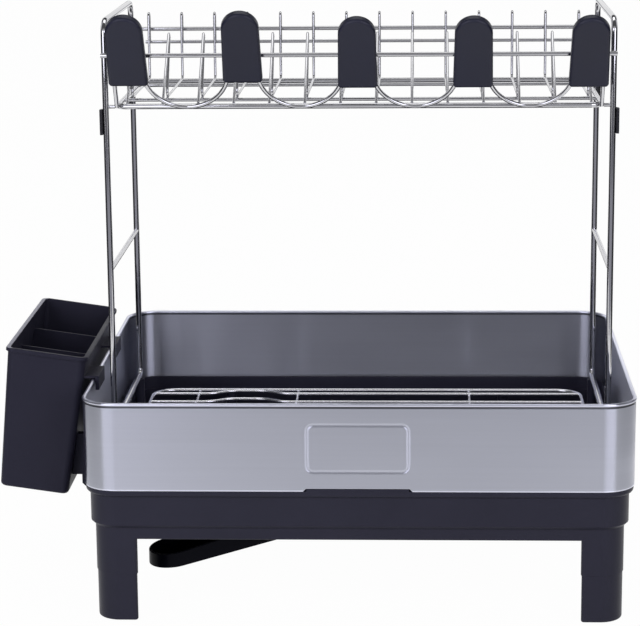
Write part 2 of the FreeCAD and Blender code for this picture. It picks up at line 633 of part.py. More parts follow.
def add_outlet(body):
    """Boss, outlet tube, drain bore and the groove for the spout's retaining ring."""
    boss = new_sketch(body, "XY_Plane", SEAL_TOP)
    draw_circle(boss, "Sizes.boss_radius")
    boss.recompute()
    pad(body, boss, f"{FLOOR_UNDER} + 0.5 - {SEAL_TOP}")
    tube = new_sketch(body, "XY_Plane", OUTLET_FOOT)
    draw_circle(tube, "Sizes.outlet_radius")
    tube.recompute()
    pad(body, tube, f"{SEAL_TOP} + 0.5 - {OUTLET_FOOT}")
    bore = new_sketch(body, "XY_Plane", OUTLET_FOOT)
    draw_circle(bore, "Sizes.outlet_bore")
    bore.recompute()
    pocket(body, bore, f"{FLOOR_EDGE} - {OUTLET_FOOT}", reverse=True)
    groove = new_sketch(body, "XY_Plane", CLIP_RING_TOP)
    draw_circle(groove, "Sizes.outlet_radius + 1")
    draw_circle(groove, "Sizes.outlet_radius - Sizes.clip_groove")
    groove.recompute()
    pocket(body, groove, "Sizes.clip_ring_thickness")


def soften_tray(body):
    """Small roundings on the edges that hands and eyes meet."""
    rim = value("Sizes.band_seat + Sizes.upstand_height")
    round_edges(body, lambda box: level(box, rim), "Sizes.tray_wall * 0.3")
    foot = value("Sizes.base_clearance")
    half_x = value("Sizes.band_width / 2 - Sizes.base_inset")
    half_y = value("Sizes.band_depth / 2 - Sizes.base_inset")
    long_edge = value("Sizes.band_depth / 2")
    round_edges(body, lambda box: level(box, foot) and outside(box, half_x, half_y)
                and max(box.XLength, box.YLength) > long_edge, "1.0")


# ---------------------------------------------------------------- legs
def make_leg(label, quadrant):
    """Plug-in leg of angle section: a thin plug on top, rounded edges below."""
    body = new_body(label)
    outline = new_sketch(body, "XY_Plane")
    draw_leg(outline, quadrant, "Sizes.leg_step")
    outline.recompute()
    pad(body, outline, "Sizes.leg_joint")
    round_edges(body, lambda box: level(box, 0), "Sizes.leg_round")
    plug = new_sketch(body, "XY_Plane", "Sizes.leg_joint")
    draw_leg(plug, quadrant, "(Sizes.leg_skin + Sizes.seat_gap)")
    plug.recompute()
    pad(body, plug, "Sizes.tenon_height")


# ---------------------------------------------------------------- spout
def extrude(outline, length, reverse=False, symmetric=False):
    solid = doc.addObject("Part::Extrusion", fresh("Extrusion"))
    solid.Base = outline
    solid.DirMode = "Normal"
    solid.Solid = True
    solid.Reversed = reverse
    solid.Symmetric = symmetric
    solid.setExpression("LengthFwd", length)
    solid.recompute()
    return solid


def loose_sketch(role_rotation, base):
    sketch = doc.addObject("Sketcher::SketchObject", fresh("Sketch"))
    sketch.Placement = FreeCAD.Placement(base, role_rotation)
    return sketch


def boolean(kind, base, tool):
    result = doc.addObject(kind, fresh("Boolean"))
    result.Base = base
    result.Tool = tool
    result.recompute()
    return result


UPRIGHT = FreeCAD.Rotation(Vector(1, 0, 0), 90)
FLAT = FreeCAD.Rotation()


def trough_solid(inset, top_margin):
    """Long rounded block whose top and underside both fall towards the tip.

    The spout is drawn along -X from its pivot and turned to its rest direction at the end.
    """
    radius = value(f"Sizes.spout_width / 2 - {inset}")
    reach = value("Sizes.spout_length")
    top = value(COLLAR_TOP)
    depth = value("Sizes.spout_depth")
    rim_fall = value("Sizes.spout_lip_fall")
    floor_fall = value("Sizes.spout_floor_fall")
    tip = reach + value("Sizes.spout_width / 2")
    margin = value(top_margin)
    floor = top - depth + value(inset)

    plan = loose_sketch(FLAT, Vector(0, 0, floor - floor_fall - 5))
    up, down = Vector(0, radius, 0), Vector(0, -radius, 0)
    far = Vector(-reach, 0, 0)
    plan.addGeometry(Part.Arc(down, Vector(radius, 0, 0), up))
    plan.addGeometry(Part.LineSegment(up, far + up))
    plan.addGeometry(Part.Arc(far + up, far + Vector(-radius, 0, 0), far + down))
    plan.addGeometry(Part.LineSegment(far + down, down))
    plan.recompute()
    block = extrude(plan, "2 * Sizes.base_clearance")

    side = loose_sketch(UPRIGHT, Vector(0, 0, 0))
    heel = value("Sizes.spout_width / 2")
    draw_polygon(side, [(heel, floor), (0, floor), (-tip, floor - floor_fall),
                        (-tip, top - rim_fall + margin), (-heel, top + margin),
                        (heel, top + margin)])
    side.recompute()
    wedge = extrude(side, "2 * Sizes.spout_width", symmetric=True)
    return boolean("Part::Common", block, wedge)


def make_spout():
    """Open trough that swivels on the tray's outlet tube, with a closed collar at its pivot."""
    trough = boolean("Part::Cut", trough_solid("0", "0"), trough_solid("Sizes.spout_wall", "8"))
    collar = doc.addObject("Part::Cylinder", fresh("Collar"))
    collar.setExpression("Radius", "Sizes.spout_width / 2 - 0.5")
    collar.setExpression("Height", "Sizes.collar_thickness")
    collar.setExpression("Placement.Base.z", f"{COLLAR_TOP} - Sizes.collar_thickness")
    bore = doc.addObject("Part::Cylinder", fresh("Bore"))
    bore.setExpression("Radius", "Sizes.outlet_radius + Sizes.pivot_gap")
    bore.setExpression("Height", "Sizes.collar_thickness + 2")
    bore.setExpression("Placement.Base.z", f"{COLLAR_TOP} - Sizes.collar_thickness - 1")
    joined = boolean("Part::Fuse", trough, boolean("Part::Cut", collar, bore))
    turn = FreeCAD.Rotation(Vector(0, 0, 1), value("Sizes.spout_angle"))
    joined.Placement = FreeCAD.Placement(Vector(0, 0, 0), turn)
    keep("drain_spout", joined)


def make_ring(label, inner, outer, top, thickness):
    """Flat ring about the outlet's axis, such as a washer or a retaining ring."""
    solid = doc.addObject("Part::Cylinder", fresh("Disc"))
    solid.setExpression("Radius", outer)
    solid.setExpression("Height", thickness)
    solid.setExpression("Placement.Base.z", f"{top} - {thickness}")
    hole = doc.addObject("Part::Cylinder", fresh("Hole"))
    hole.setExpression("Radius", inner)
    hole.setExpression("Height", f"{thickness} + 2")
    hole.setExpression("Placement.Base.z", f"{top} - {thickness} - 1")
    keep(label, boolean("Part::Cut", solid, hole))


# ---------------------------------------------------------------- dish grid
def make_dish_grid():
    """Flat wire grid that lies in the basin: frame wire, bowed cross wires, depth wires."""
    half_x, half_y = value(GRID_X), value(GRID_Y)
    bend = value("Sizes.grid_corner")
    frame = new_body("grid_frame_wire")
    loop = [(0, half_y), (half_x, half_y), (half_x, -half_y), (-half_x, -half_y), (-half_x, half_y)]
    bent_wire(frame, "XY_Plane", "Sizes.grid_height", loop, [0, bend, bend, bend, bend],
              "Sizes.grid_wire", closed=True)

    cross = new_body("grid_cross_wires")
    last = value(f"{GRID_Y} - Sizes.grid_bar_margin")
    end = value(f"{GRID_X} - Sizes.grid_wire / 2 + Sizes.weld_sink")
    left = -value("Sizes.bay_left - Sizes.bow_margin")
    right = -value("Sizes.bay_middle + Sizes.bow_margin")
    rise = value("Sizes.bow_rise")
    slope = (right - left) * 0.28
    bow = value("Sizes.bow_bend")
    line = [(-end, -last), (left, -last), (left + slope, rise - last), (right - slope, rise - last),
            (right, -last), (end, -last)]
    wire = bent_wire(cross, "XY_Plane", "Sizes.grid_height", line, [0, bow, bow, bow, bow, 0],
                     "Sizes.grid_bar")
    repeat(cross, wire, "Y_Axis", f"2 * ({GRID_Y} - Sizes.grid_bar_margin)",
           "Sizes.grid_bar_count")

    depth = new_body("grid_depth_wires")
    under = "Sizes.grid_height - Sizes.grid_bar + Sizes.weld_sink"
    section = new_sketch(depth, "XZ_Plane", f"-({GRID_Y})")
    for place in ("-Sizes.bay_left", "-Sizes.bay_middle", "Sizes.bay_right"):
        draw_circle(section, "Sizes.grid_bar / 2", (place, under))
    section.recompute()
    pad(depth, section, f"2 * {GRID_Y}")


# ---------------------------------------------------------------- side frames
def make_side_frame(side, sign):
    """Closed wire loop with a middle bar and two pins that stand in the tray's columns."""
    place = signed(sign, POST_X)
    half = value(POST_Y)
    top, foot = value("Sizes.frame_top"), value("Sizes.frame_foot")
    corner, heel = value("Sizes.frame_corner"), value("Sizes.frame_heel")
    middle = value("Sizes.brace_height")
    loop = [(-half, middle), (-half, top), (half, top), (half, foot), (-half, foot)]
    frame = new_body(f"{side}_side_frame")
    bent_wire(frame, "YZ_Plane", place, loop, [0, corner, corner, heel, heel],
              "Sizes.post_wire", closed=True)

    brace = new_body(f"{side}_middle_bar")
    reach = f"({POST_Y} - Sizes.post_wire / 2 + Sizes.weld_sink)"
    section = new_sketch(brace, "XZ_Plane", f"-{reach}")
    draw_circle(section, "Sizes.brace_wire / 2", (place, "Sizes.brace_height"))
    section.recompute()
    pad(brace, section, f"2 * {reach}")

    pins = new_body(f"{side}_frame_pins")
    pin_top = "Sizes.frame_foot - Sizes.post_wire / 2 + Sizes.weld_sink"
    section = new_sketch(pins, "XY_Plane", PIN_FOOT)
    for pin_sign in (-1, 1):
        draw_circle(section, "Sizes.post_wire / 2", (place, signed(pin_sign, PIN_Y)))
    section.recompute()
    pad(pins, section, f"{pin_top} - {PIN_FOOT}")
    foot_level = value(PIN_FOOT)
    round_edges(pins, lambda box: level(box, foot_level), "0.8")


def make_tie_rail(label, sign, height):
    """Straight rail welded across the posts of both side frames."""
    body = new_body(label)
    reach = f"({POST_X} + Sizes.post_wire / 2)"
    section = new_sketch(body, "YZ_Plane", f"-{reach}")
    draw_circle(section, "Sizes.tie_wire / 2", (signed(sign, TIE_Y), height))
    section.recompute()
    pad(body, section, f"2 * {reach}")


# ---------------------------------------------------------------- shelf
def make_shelf_frame():
    """Rectangular loop of thick wire, its two cross wires and the rail behind the tines."""
    half_x, half_y = value(SHELF_X), value(SHELF_Y)
    bend = value("Sizes.shelf_corner")
    frame = new_body("shelf_frame_wire")
    loop = [(0, half_y), (half_x, half_y), (half_x, -half_y), (-half_x, -half_y), (-half_x, half_y)]
    bent_wire(frame, "XY_Plane", "Sizes.shelf_height", loop, [0, bend, bend, bend, bend],
              "Sizes.shelf_wire", closed=True)

    cross = new_body("shelf_cross_wires")
    reach = f"({SHELF_X} - Sizes.shelf_wire / 2 + Sizes.weld_sink)"
    section = new_sketch(cross, "YZ_Plane", f"-{reach}")
    for sign in (-1, 1):
        draw_circle(section, "Sizes.shelf_bar / 2",
                    (signed(sign, "Sizes.shelf_bar_offset"), SHELF_BAR_Z))
    section.recompute()
    pad(cross, section, f"2 * {reach}")

    rail = new_body("tine_back_rail")
    reach = f"({SHELF_X} - Sizes.tine_margin / 2)"
    section = new_sketch(rail, "YZ_Plane", f"-{reach}")
    draw_circle(section, "Sizes.back_rail_wire / 2", (SHELF_Y, "Sizes.back_rail_height"))
    section.recompute()
    pad(rail, section, f"2 * {reach}")


def tine_tip(foot, tip, landing):
    """The two corner points of a hairpin tip, square to the mean direction of its legs."""
    foot, tip, landing = (Vector(*point, 0) for point in (foot, tip, landing))
    mean = ((tip - foot).normalize() + (tip - landing).normalize()).normalize()
    across = Vector(mean.y, -mean.x, 0) * (value("Sizes.tine_tip") / 2)
    return [(point.x, point.y) for point in (tip - across, tip + across)]


def make_tine_wires():
    """Each wire makes a front tine, a run across the shelf and a rear tine, in one piece."""
    floor = value(TINE_FLOOR)
    front = -value(SHELF_Y)
    front_foot = (front, floor - 2 * value("Sizes.weld_sink"))
    front_tip = (front + value("Sizes.front_tine_lean"), floor + value("Sizes.front_tine_rise"))
    front_heel = (front + value("Sizes.front_tine_base"), floor)
    rear_foot = (value(f"{SHELF_Y} - Sizes.rear_tine_setback"), floor)
    landing_y = value(f"{SHELF_Y} - (Sizes.back_rail_wire + Sizes.tine_wire) / 2 + Sizes.weld_sink")
    landing = (landing_y, value("Sizes.back_rail_height"))
    rear_top = floor + value("Sizes.rear_tine_rise")
    front_corners = tine_tip(front_foot, front_tip, front_heel)
    line = [landing, (landing_y, rear_top), (rear_foot[0], rear_top), rear_foot, front_heel,
            front_corners[1], front_corners[0], front_foot]
    tip_bend = value("Sizes.tine_bend")
    loop_bend = (landing_y - rear_foot[0]) * 0.49
    foot_bend = 2 * tip_bend
    bends = [0, loop_bend, loop_bend, foot_bend, foot_bend, tip_bend, tip_bend, 0]
    body = new_body("shelf_tine_wires")
    wire = bent_wire(body, "YZ_Plane", f"-({SHELF_X} - Sizes.tine_margin)", line, bends,
                     "Sizes.tine_wire")
    repeat(body, wire, "X_Axis", f"2 * ({SHELF_X} - Sizes.tine_margin)", "Sizes.tine_count")


def make_corner_stubs():
    """Four short wires that join the shelf's corners to the posts."""
    body = new_body("shelf_corner_stubs")
    inner = f"({SHELF_X} + Sizes.shelf_wire / 2 - Sizes.weld_sink)"
    outer = f"({POST_X} + Sizes.post_wire / 4)"
    stub_y = f"({POST_Y} - Sizes.post_wire / 2 - Sizes.stub_wire / 2 + Sizes.weld_sink)"
    for sign in (-1, 1):
        section = new_sketch(body, "YZ_Plane", signed(sign, inner))
        for depth_sign in (-1, 1):
            draw_circle(section, "Sizes.stub_wire / 2",
                        (signed(depth_sign, stub_y), "Sizes.shelf_height"))
        section.recompute()
        pad(body, section, f"{outer} - {inner}", reverse=sign < 0)


def make_shelf_clips():
    """Black snap clips, one behind each post: a part ring around it and an outer arm."""
    top = "(Sizes.shelf_height - Sizes.stub_wire / 2 - 0.1)"
    inner = value("Sizes.post_wire / 2 + Sizes.clip_gap")
    outer = inner + value("Sizes.clip_wall")
    arm = value("Sizes.clip_arm")
    sweep = math.radians(value("Sizes.clip_sweep"))
    body = new_body("shelf_clips")
    sketch = new_sketch(body, "XY_Plane", top)
    for sign_x, sign_y in QUADRANTS:
        post = Vector(sign_x * value(POST_X), sign_y * value(POST_Y), 0)

        def at(out, back):
            """A point given outwards along X and towards the shelf's middle along Y."""
            return post + Vector(sign_x * out, -sign_y * back, 0)

        far = (math.cos(sweep), math.sin(sweep))
        mid = (math.cos(sweep / 2), math.sin(sweep / 2))
        sketch.addGeometry(Part.LineSegment(at(outer, 0), at(outer, -arm / 3)))
        sketch.addGeometry(Part.LineSegment(at(outer, -arm / 3), at(inner, -arm / 3)))
        sketch.addGeometry(Part.LineSegment(at(inner, -arm / 3), at(inner, 0)))
        sketch.addGeometry(Part.Arc(at(inner, 0), at(inner * mid[0], inner * mid[1]),
                                    at(inner * far[0], inner * far[1])))
        sketch.addGeometry(Part.LineSegment(at(inner * far[0], inner * far[1]),
                                            at(outer * far[0], outer * far[1])))
        sketch.addGeometry(Part.Arc(at(outer * far[0], outer * far[1]),
                                    at(outer * mid[0], outer * mid[1]), at(outer, 0)))
    sketch.recompute()
    pad(body, sketch, "Sizes.clip_height", reverse=True)


# ---------------------------------------------------------------- cup posts
def cup_placement(offset):
    """Where the cup wire's own plane stands: on the shelf's front wire, leaning forward."""
    return FreeCAD.Placement(Vector(offset, -value(CUP_Y), value("Sizes.shelf_height")),
                             FreeCAD.Rotation(Vector(1, 0, 0), value("Sizes.cup_tilt")))


def cup_pitch():
    return value(f"2 * ({SHELF_X} - Sizes.cup_crest) / (Sizes.cup_count - 1)")


def make_cup_wire():
    """One wire bent into a row of narrow crests and wide round dips."""
    crest = value("Sizes.cup_crest")
    pitch = cup_pitch()
    dip = pitch / 2 - crest
    rise = value("Sizes.cup_rise")
    count = int(value("Sizes.cup_count"))
    corners, bends = [], []
    for index in range(count):
        middle = (index - (count - 1) / 2) * pitch
        first, last = index == 0, index == count - 1
        corners += [(middle - crest, 0), (middle - crest, rise), (middle + crest, rise),
                    (middle + crest, 0)]
        bends += [0 if first else dip, crest, crest, 0 if last else dip]
    body = new_body("cup_holder_wire")
    bent_wire(body, "XZ_Plane", "0", corners, bends, "Sizes.cup_wire")
    body.Placement = cup_placement(0)


def make_sleeve(label, index, lift):
    """Silicone sleeve pushed over one crest, open below, with a round top."""
    count = value("Sizes.cup_count")
    body = new_body(label)
    top_radius = value("Sizes.sleeve_top_width / 2")
    foot = value("Sizes.sleeve_foot_width / 2")
    length = value("Sizes.sleeve_length")
    lean = math.atan2(foot - top_radius, length - top_radius)
    crown = length - top_radius
    shoulder = Vector(top_radius * math.cos(lean), crown + top_radius * math.sin(lean), 0)
    opposite = Vector(-shoulder.x, shoulder.y, 0)
    outline = new_sketch(body, "XZ_Plane")
    outline.addGeometry(Part.LineSegment(Vector(-foot, 0, 0), Vector(foot, 0, 0)))
    outline.addGeometry(Part.LineSegment(Vector(foot, 0, 0), shoulder))
    outline.addGeometry(Part.Arc(shoulder, Vector(0, length, 0), opposite))
    outline.addGeometry(Part.LineSegment(opposite, Vector(-foot, 0, 0)))
    outline.recompute()
    pad(body, outline, "Sizes.sleeve_thickness", symmetric=True)
    round_edges(body, lambda box: True, "Sizes.sleeve_edge * 0.9")

    gap = "Sizes.sleeve_gap"
    hollow_radius = value(f"Sizes.cup_crest + Sizes.cup_wire / 2 + {gap}")
    hollow_top = length - value("Sizes.sleeve_top_width / 2") + hollow_radius
    hollow_crown = hollow_top - hollow_radius
    crest_top = value("Sizes.cup_rise + Sizes.cup_wire / 2") + value(gap) + lift
    dip = cup_pitch() / 2 - value("Sizes.cup_crest")
    dip_height = max(dip - (crest_top - hollow_top), 0.0)
    spread = dip - math.sqrt(dip ** 2 - dip_height ** 2)
    flare = hollow_radius + spread * 1.1
    sides = [Vector(flare, 0, 0), Vector(hollow_radius, dip_height + 1, 0),
             Vector(hollow_radius, hollow_crown, 0)]
    mirrored = [Vector(-point.x, point.y, 0) for point in reversed(sides)]
    hollow = new_sketch(body, "XZ_Plane")
    for run in (sides, mirrored):
        for start, end in zip(run, run[1:]):
            hollow.addGeometry(Part.LineSegment(start, end))
    hollow.addGeometry(Part.Arc(sides[-1], Vector(0, hollow_top, 0), mirrored[0]))
    hollow.addGeometry(Part.LineSegment(mirrored[-1], sides[0]))
    hollow.recompute()
    pocket(body, hollow, f"Sizes.cup_wire + 2 * {gap}", symmetric=True)
    middle = (index - (count - 1) / 2) * cup_pitch()
    local = FreeCAD.Placement(Vector(0, 0, crest_top - hollow_top), FreeCAD.Rotation())
    body.Placement = cup_placement(middle) * local


# ---------------------------------------------------------------- utensil holder
def make_utensil_holder():
    """Three-compartment box with hooks over the band's rim and ribs that keep it off the band."""
    box = doc.addObject("PartDesign::Body", fresh("HolderBox"))
    mouth = "Sizes.holder_height"
    top = holder_outline(box, "0", mouth)
    foot = holder_outline(box, "0", "0")
    loft(box, "PartDesign::AdditiveLoft", foot, top)
    lip = new_sketch(box, "XY_Plane", mouth)
    spread = "2 * Sizes.holder_lip"
    draw_rectangle(lip, f"Sizes.holder_width + {spread}", f"Sizes.holder_length + {spread}",
                   ["Sizes.holder_corner + Sizes.holder_lip"] * 4)
    lip.recompute()
    pad(box, lip, "Sizes.holder_lip_height", reverse=True)
    mouth_level = value(mouth)
    round_edges(box, lambda edge: level(edge, mouth_level), "Sizes.holder_lip * 0.9")
    round_edges(box, lambda edge: level(edge, 0), "Sizes.holder_wall * 1.5")
    cavity_top = holder_outline(box, "Sizes.holder_wall", f"{mouth} + 0.01")
    cavity_foot = holder_outline(box, "Sizes.holder_wall", "Sizes.holder_wall")
    before = box.Tip.Shape.Volume
    cavity = loft(box, "PartDesign::SubtractiveLoft", cavity_foot, cavity_top)
    if not cavity.Shape.Volume < before:
        raise RuntimeError("the holder's cavity cuts nothing")
    add_dividers(box)
    drill_holder(box)
    lean = FreeCAD.Rotation(Vector(0, 1, 0), value("Sizes.holder_tilt"))
    local_corner = Vector(value("Sizes.holder_width / 2"), 0, value(mouth))
    turned = lean.multVec(local_corner)
    inner_edge = -value("Sizes.band_width / 2 + Sizes.holder_gap")
    mouth_height = value(f"{RIM_TOP} + Sizes.holder_rise")
    box.Placement = FreeCAD.Placement(
        Vector(inner_edge - turned.x, 0, mouth_height - turned.z), lean)
    with_hooks = boolean("Part::Fuse", box, holder_fittings(box))
    keep("utensil_holder", with_hooks)


def holder_outline(box, inset, height):
    """Plan of the holder at its mouth or at its foot, set in by a wall."""
    sketch = new_sketch(box, "XY_Plane", height)
    at_mouth = value(height) > value("Sizes.holder_height / 2")
    stem = "" if at_mouth else "foot_"
    width = f"Sizes.holder_{stem}width - 2 * {inset}"
    length = f"Sizes.holder_{stem}length - 2 * {inset}"
    centre = ("0", "0") if at_mouth else ("Sizes.holder_foot_shift", "0")
    draw_rectangle(sketch, width, length, [f"Sizes.holder_corner - {inset}"] * 4, centre)
    sketch.recompute()
    return sketch


def add_dividers(box):
    """Two walls across the holder that end below its mouth."""
    top = value("Sizes.holder_height - Sizes.divider_drop")
    foot = value("Sizes.holder_wall")
    inner = "Sizes.holder_wall * 0.5"
    taper = value("(Sizes.holder_width - Sizes.holder_foot_width) / 2 / Sizes.holder_height")
    half_top = value(f"Sizes.holder_width / 2 - {inner}") - taper * value("Sizes.divider_drop")
    half_foot = value(f"Sizes.holder_foot_width / 2 - {inner}") + taper * foot
    shift = value("Sizes.holder_foot_shift")
    shift_top = shift * value("Sizes.divider_drop / Sizes.holder_height")
    for sign in (-1, 1):
        sketch = new_sketch(box, "XZ_Plane", signed(sign, "(Sizes.holder_length / 6)"))
        draw_polygon(sketch, [(shift - half_foot, foot - 0.5), (shift + half_foot, foot - 0.5),
                              (shift_top + half_top, top), (shift_top - half_top, top)])
        sketch.recompute()
        pad(box, sketch, "Sizes.divider_wall", symmetric=True)


def drill_holder(box):
    """Drain holes, two in the floor of each compartment."""
    sketch = new_sketch(box, "XY_Plane")
    for bay in (-1, 0, 1):
        for side in (-1, 1):
            place = (f"Sizes.holder_foot_shift + {side} * Sizes.holder_foot_width / 5",
                     f"{bay} * Sizes.holder_foot_length / 3.1")
            draw_circle(sketch, "Sizes.drain_hole", place)
    sketch.recompute()
    pocket(box, sketch, "2 * Sizes.holder_wall", reverse=True)


def holder_fittings(box):
    """Hooks and spacer ribs, drawn upright beside the band."""
    gap = value("Sizes.seat_gap")
    rim = value(RIM_TOP)
    root = value("Sizes.holder_wall") * 0.6
    plate_foot = rim + gap
    plate_top = plate_foot + value("Sizes.hook_plate")
    lip_out = -value("Sizes.band_width / 2 + Sizes.rim_proud - Sizes.rim_bead") + gap
    lip_in = lip_out + value("Sizes.hook_thickness")
    lip_foot = rim - value("Sizes.hook_drop")
    hook = [(wall_place(box, plate_foot) - root, plate_foot), (lip_out, plate_foot),
            (lip_out, lip_foot), (lip_in, lip_foot), (lip_in, plate_top),
            (wall_place(box, plate_top) - root, plate_top)]

    face = -value("Sizes.band_width / 2 + Sizes.rim_proud") - gap
    rib_foot = value("Sizes.band_seat - Sizes.rib_drop")
    rib_top = rib_foot + value("Sizes.rib_height")
    toe_x = face - value("Sizes.toe_reach")
    toe_drop = value("Sizes.toe_drop")
    toe_bevel = value("Sizes.toe_bevel")
    rib = [(wall_place(box, rib_foot) - root, rib_foot), (toe_x, rib_foot),
           (toe_x, rib_foot - toe_drop + toe_bevel),
           (toe_x + toe_bevel, rib_foot - toe_drop), (face, rib_foot - toe_drop),
           (face, rib_top), (wall_place(box, rib_top) - root, rib_top)]
    parts = []
    for place in (-value("Sizes.hook_front"), value("Sizes.hook_rear")):
        parts.append(upright_block(hook, place, "Sizes.hook_width"))
    for side in (-1, 1):
        parts.append(upright_block(rib, side * value("Sizes.rib_spread"), "Sizes.rib_width"))
    joined = doc.addObject("Part::MultiFuse", fresh("Fittings"))
    joined.Shapes = parts
    joined.recompute()
    return joined


def upright_block(outline, place, width):
    sketch = loose_sketch(UPRIGHT, Vector(0, place, 0))
    draw_polygon(sketch, outline)
    sketch.recompute()
    return extrude(sketch, width, symmetric=True)


def wall_place(box, height):
    """X of the holder's inner face beside the band, at a height."""
    foot = box.Placement.multVec(Vector(value("Sizes.holder_foot_shift + Sizes.holder_foot_width / 2"),
                                        0, 0))
    head = box.Placement.multVec(Vector(value("Sizes.holder_width / 2"), 0,
                                        value("Sizes.holder_height")))
    share = (height - foot.z) / (head.z - foot.z)
    return foot.x + (head.x - foot.x) * share


# ---------------------------------------------------------------- the whole rack
def centre_rack():
    """Move every piece sideways so that the origin lies under the middle of the rack's outline."""
    doc.recompute()
    ends = [piece.Shape.optimalBoundingBox(False, False) for piece in pieces
            if piece.Label in ("steel_band", "utensil_holder")]
    middle = (min(box.XMin for box in ends) + max(box.XMax for box in ends)) / 2
    shift = FreeCAD.Placement(Vector(-middle, 0, 0), FreeCAD.Rotation())
    for piece in pieces:
        piece.Placement = shift * piece.Placement
    print(f"rack moved {-middle:.4f} mm along X")


make_steel_band()
make_base_tray()
for depth_name, depth_sign in (("front", -1), ("rear", 1)):
    for side_name, side_sign in (("left", -1), ("right", 1)):
        make_leg(f"{depth_name}_{side_name}_leg", (side_sign, depth_sign))
make_spout()
make_ring("spout_retaining_ring", "Sizes.outlet_radius - Sizes.clip_groove + 0.05",
          "Sizes.outlet_radius + 2.5", f"({CLIP_RING_TOP} - 0.1)",
          "(Sizes.clip_ring_thickness - 0.2)")
make_ring("spout_seal", "Sizes.outlet_radius + 0.1", "Sizes.boss_radius - 0.5",
          SEAL_TOP, "Sizes.seal_thickness")
make_dish_grid()
for side_name, side_sign in (("left", -1), ("right", 1)):
    make_side_frame(side_name, side_sign)
make_tie_rail("front_tie_rail", -1, "Sizes.front_rail_height")
make_tie_rail("rear_tie_rail", 1, "Sizes.rear_rail_height")
make_shelf_frame()
make_tine_wires()
make_corner_stubs()
make_shelf_clips()
make_cup_wire()
SLEEVE_LIFTS = (2.5, 5.5, 0.0, 0.0, 0.0)
for sleeve_index, sleeve_lift in enumerate(SLEEVE_LIFTS):
    make_sleeve(f"cup_sleeve_{sleeve_index + 1}", sleeve_index, sleeve_lift)
make_utensil_holder()
centre_rack()

doc.recompute()
faults = [item.Name for item in doc.Objects
          if "Invalid" in item.State or "Error" in item.State]
faults += [piece.Label for piece in pieces
           if piece.Shape.isNull() or not piece.Shape.isValid() or not piece.Shape.Solids]
if faults:
    raise RuntimeError("failed: " + ", ".join(faults))

os.makedirs("parts", exist_ok=True)
for piece in pieces:
    piece.Shape.exportStep(f"parts/{piece.Label}.step")
print(f"{len(pieces)} sub-parts, {sum(len(piece.Shape.Solids) for piece in pieces)} solids")
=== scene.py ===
import bpy
import bmesh
from math import cos, pi, radians, sin
from mathutils import Matrix, Vector


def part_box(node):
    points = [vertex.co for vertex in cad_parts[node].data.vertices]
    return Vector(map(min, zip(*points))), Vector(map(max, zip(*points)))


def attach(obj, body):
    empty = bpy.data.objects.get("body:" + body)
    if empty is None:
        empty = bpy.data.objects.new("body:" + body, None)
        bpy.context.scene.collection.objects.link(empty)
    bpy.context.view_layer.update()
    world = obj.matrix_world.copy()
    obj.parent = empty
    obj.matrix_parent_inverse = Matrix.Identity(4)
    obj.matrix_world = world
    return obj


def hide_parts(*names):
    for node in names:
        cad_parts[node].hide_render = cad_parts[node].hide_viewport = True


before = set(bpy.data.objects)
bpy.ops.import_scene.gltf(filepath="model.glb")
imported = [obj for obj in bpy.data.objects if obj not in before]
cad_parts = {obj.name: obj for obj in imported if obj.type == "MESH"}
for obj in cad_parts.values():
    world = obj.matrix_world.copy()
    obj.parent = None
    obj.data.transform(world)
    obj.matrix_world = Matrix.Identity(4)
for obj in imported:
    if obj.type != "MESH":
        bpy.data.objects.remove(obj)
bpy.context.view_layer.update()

# ---- the studio ---------------------------------------------------------------------------
# The rack stands on a sweep of white paper under three softboxes.  Felt cards that only
# reflections see draw the dark and bright stripes that polished wire and steel need.
tray_low, tray_high = (Vector(corner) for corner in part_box("base_tray"))
tray_middle = (tray_low + tray_high) / 2


def new_object(name, data):
    """A new object in the scene, for a mesh, a lamp or the camera."""
    thing = bpy.data.objects.new(name, data)
    bpy.context.collection.objects.link(thing)
    return thing


lens = bpy.data.cameras.new("camera")
lens.sensor_width = 36.0
lens.lens = 131.275
camera_place = (tray_middle.x + 0.0497, -1.9398, 0.6490)
camera_turn, camera_tilt, camera_roll = radians(2.529), radians(90 - 12.507), radians(-0.54)
camera = new_object("camera", lens)
camera.matrix_world = (Matrix.Translation(camera_place) @ Matrix.Rotation(camera_turn, 4, "Z")
                       @ Matrix.Rotation(camera_tilt, 4, "X")
                       @ Matrix.Rotation(camera_roll, 4, "Z"))
bpy.context.scene.camera = camera
bpy.context.scene.view_settings.view_transform = "Standard"


def new_material(name):
    """An empty node material, with its node tree."""
    material = bpy.data.materials.new(name)
    material.use_nodes = True
    material.node_tree.nodes.clear()
    return material, material.node_tree


def add_node(tree, kind, inputs=None, **settings):
    """Add a node, set its own options, and give its inputs a plain value or a link."""
    node = tree.nodes.new(kind)
    for name, setting in settings.items():
        setattr(node, name, setting)
    for name, source in (inputs or {}).items():
        socket = node.inputs[name]
        if isinstance(source, bpy.types.NodeSocket):
            tree.links.new(source, socket)
        else:
            socket.default_value = source
    return node


def colour_ramp(tree, share, stops):
    """The colour that a ramp through (place, colour) stops gives at a share from 0 to 1."""
    ramp = add_node(tree, "ShaderNodeValToRGB", {0: share})
    elements = ramp.color_ramp.elements
    for end, (place, colour) in zip(elements, (stops[0], stops[-1])):
        end.position, end.color = place, (*colour, 1)
    for place, colour in stops[1:-1]:
        stop = elements.new(place)
        stop.color = (*colour, 1)
    return ramp.outputs["Color"]


def sheet_object(name, corners):
    """A flat four-sided sheet through its corners."""
    mesh = bpy.data.meshes.new(name)
    mesh.from_pydata(corners, [], [(0, 1, 2, 3)])
    return new_object(name, mesh)


def floor_corners(reach, front, back, level):
    """The corners of a level sheet, twice its reach wide."""
    return [(-reach, front, level), (reach, front, level), (reach, back, level),
            (-reach, back, level)]


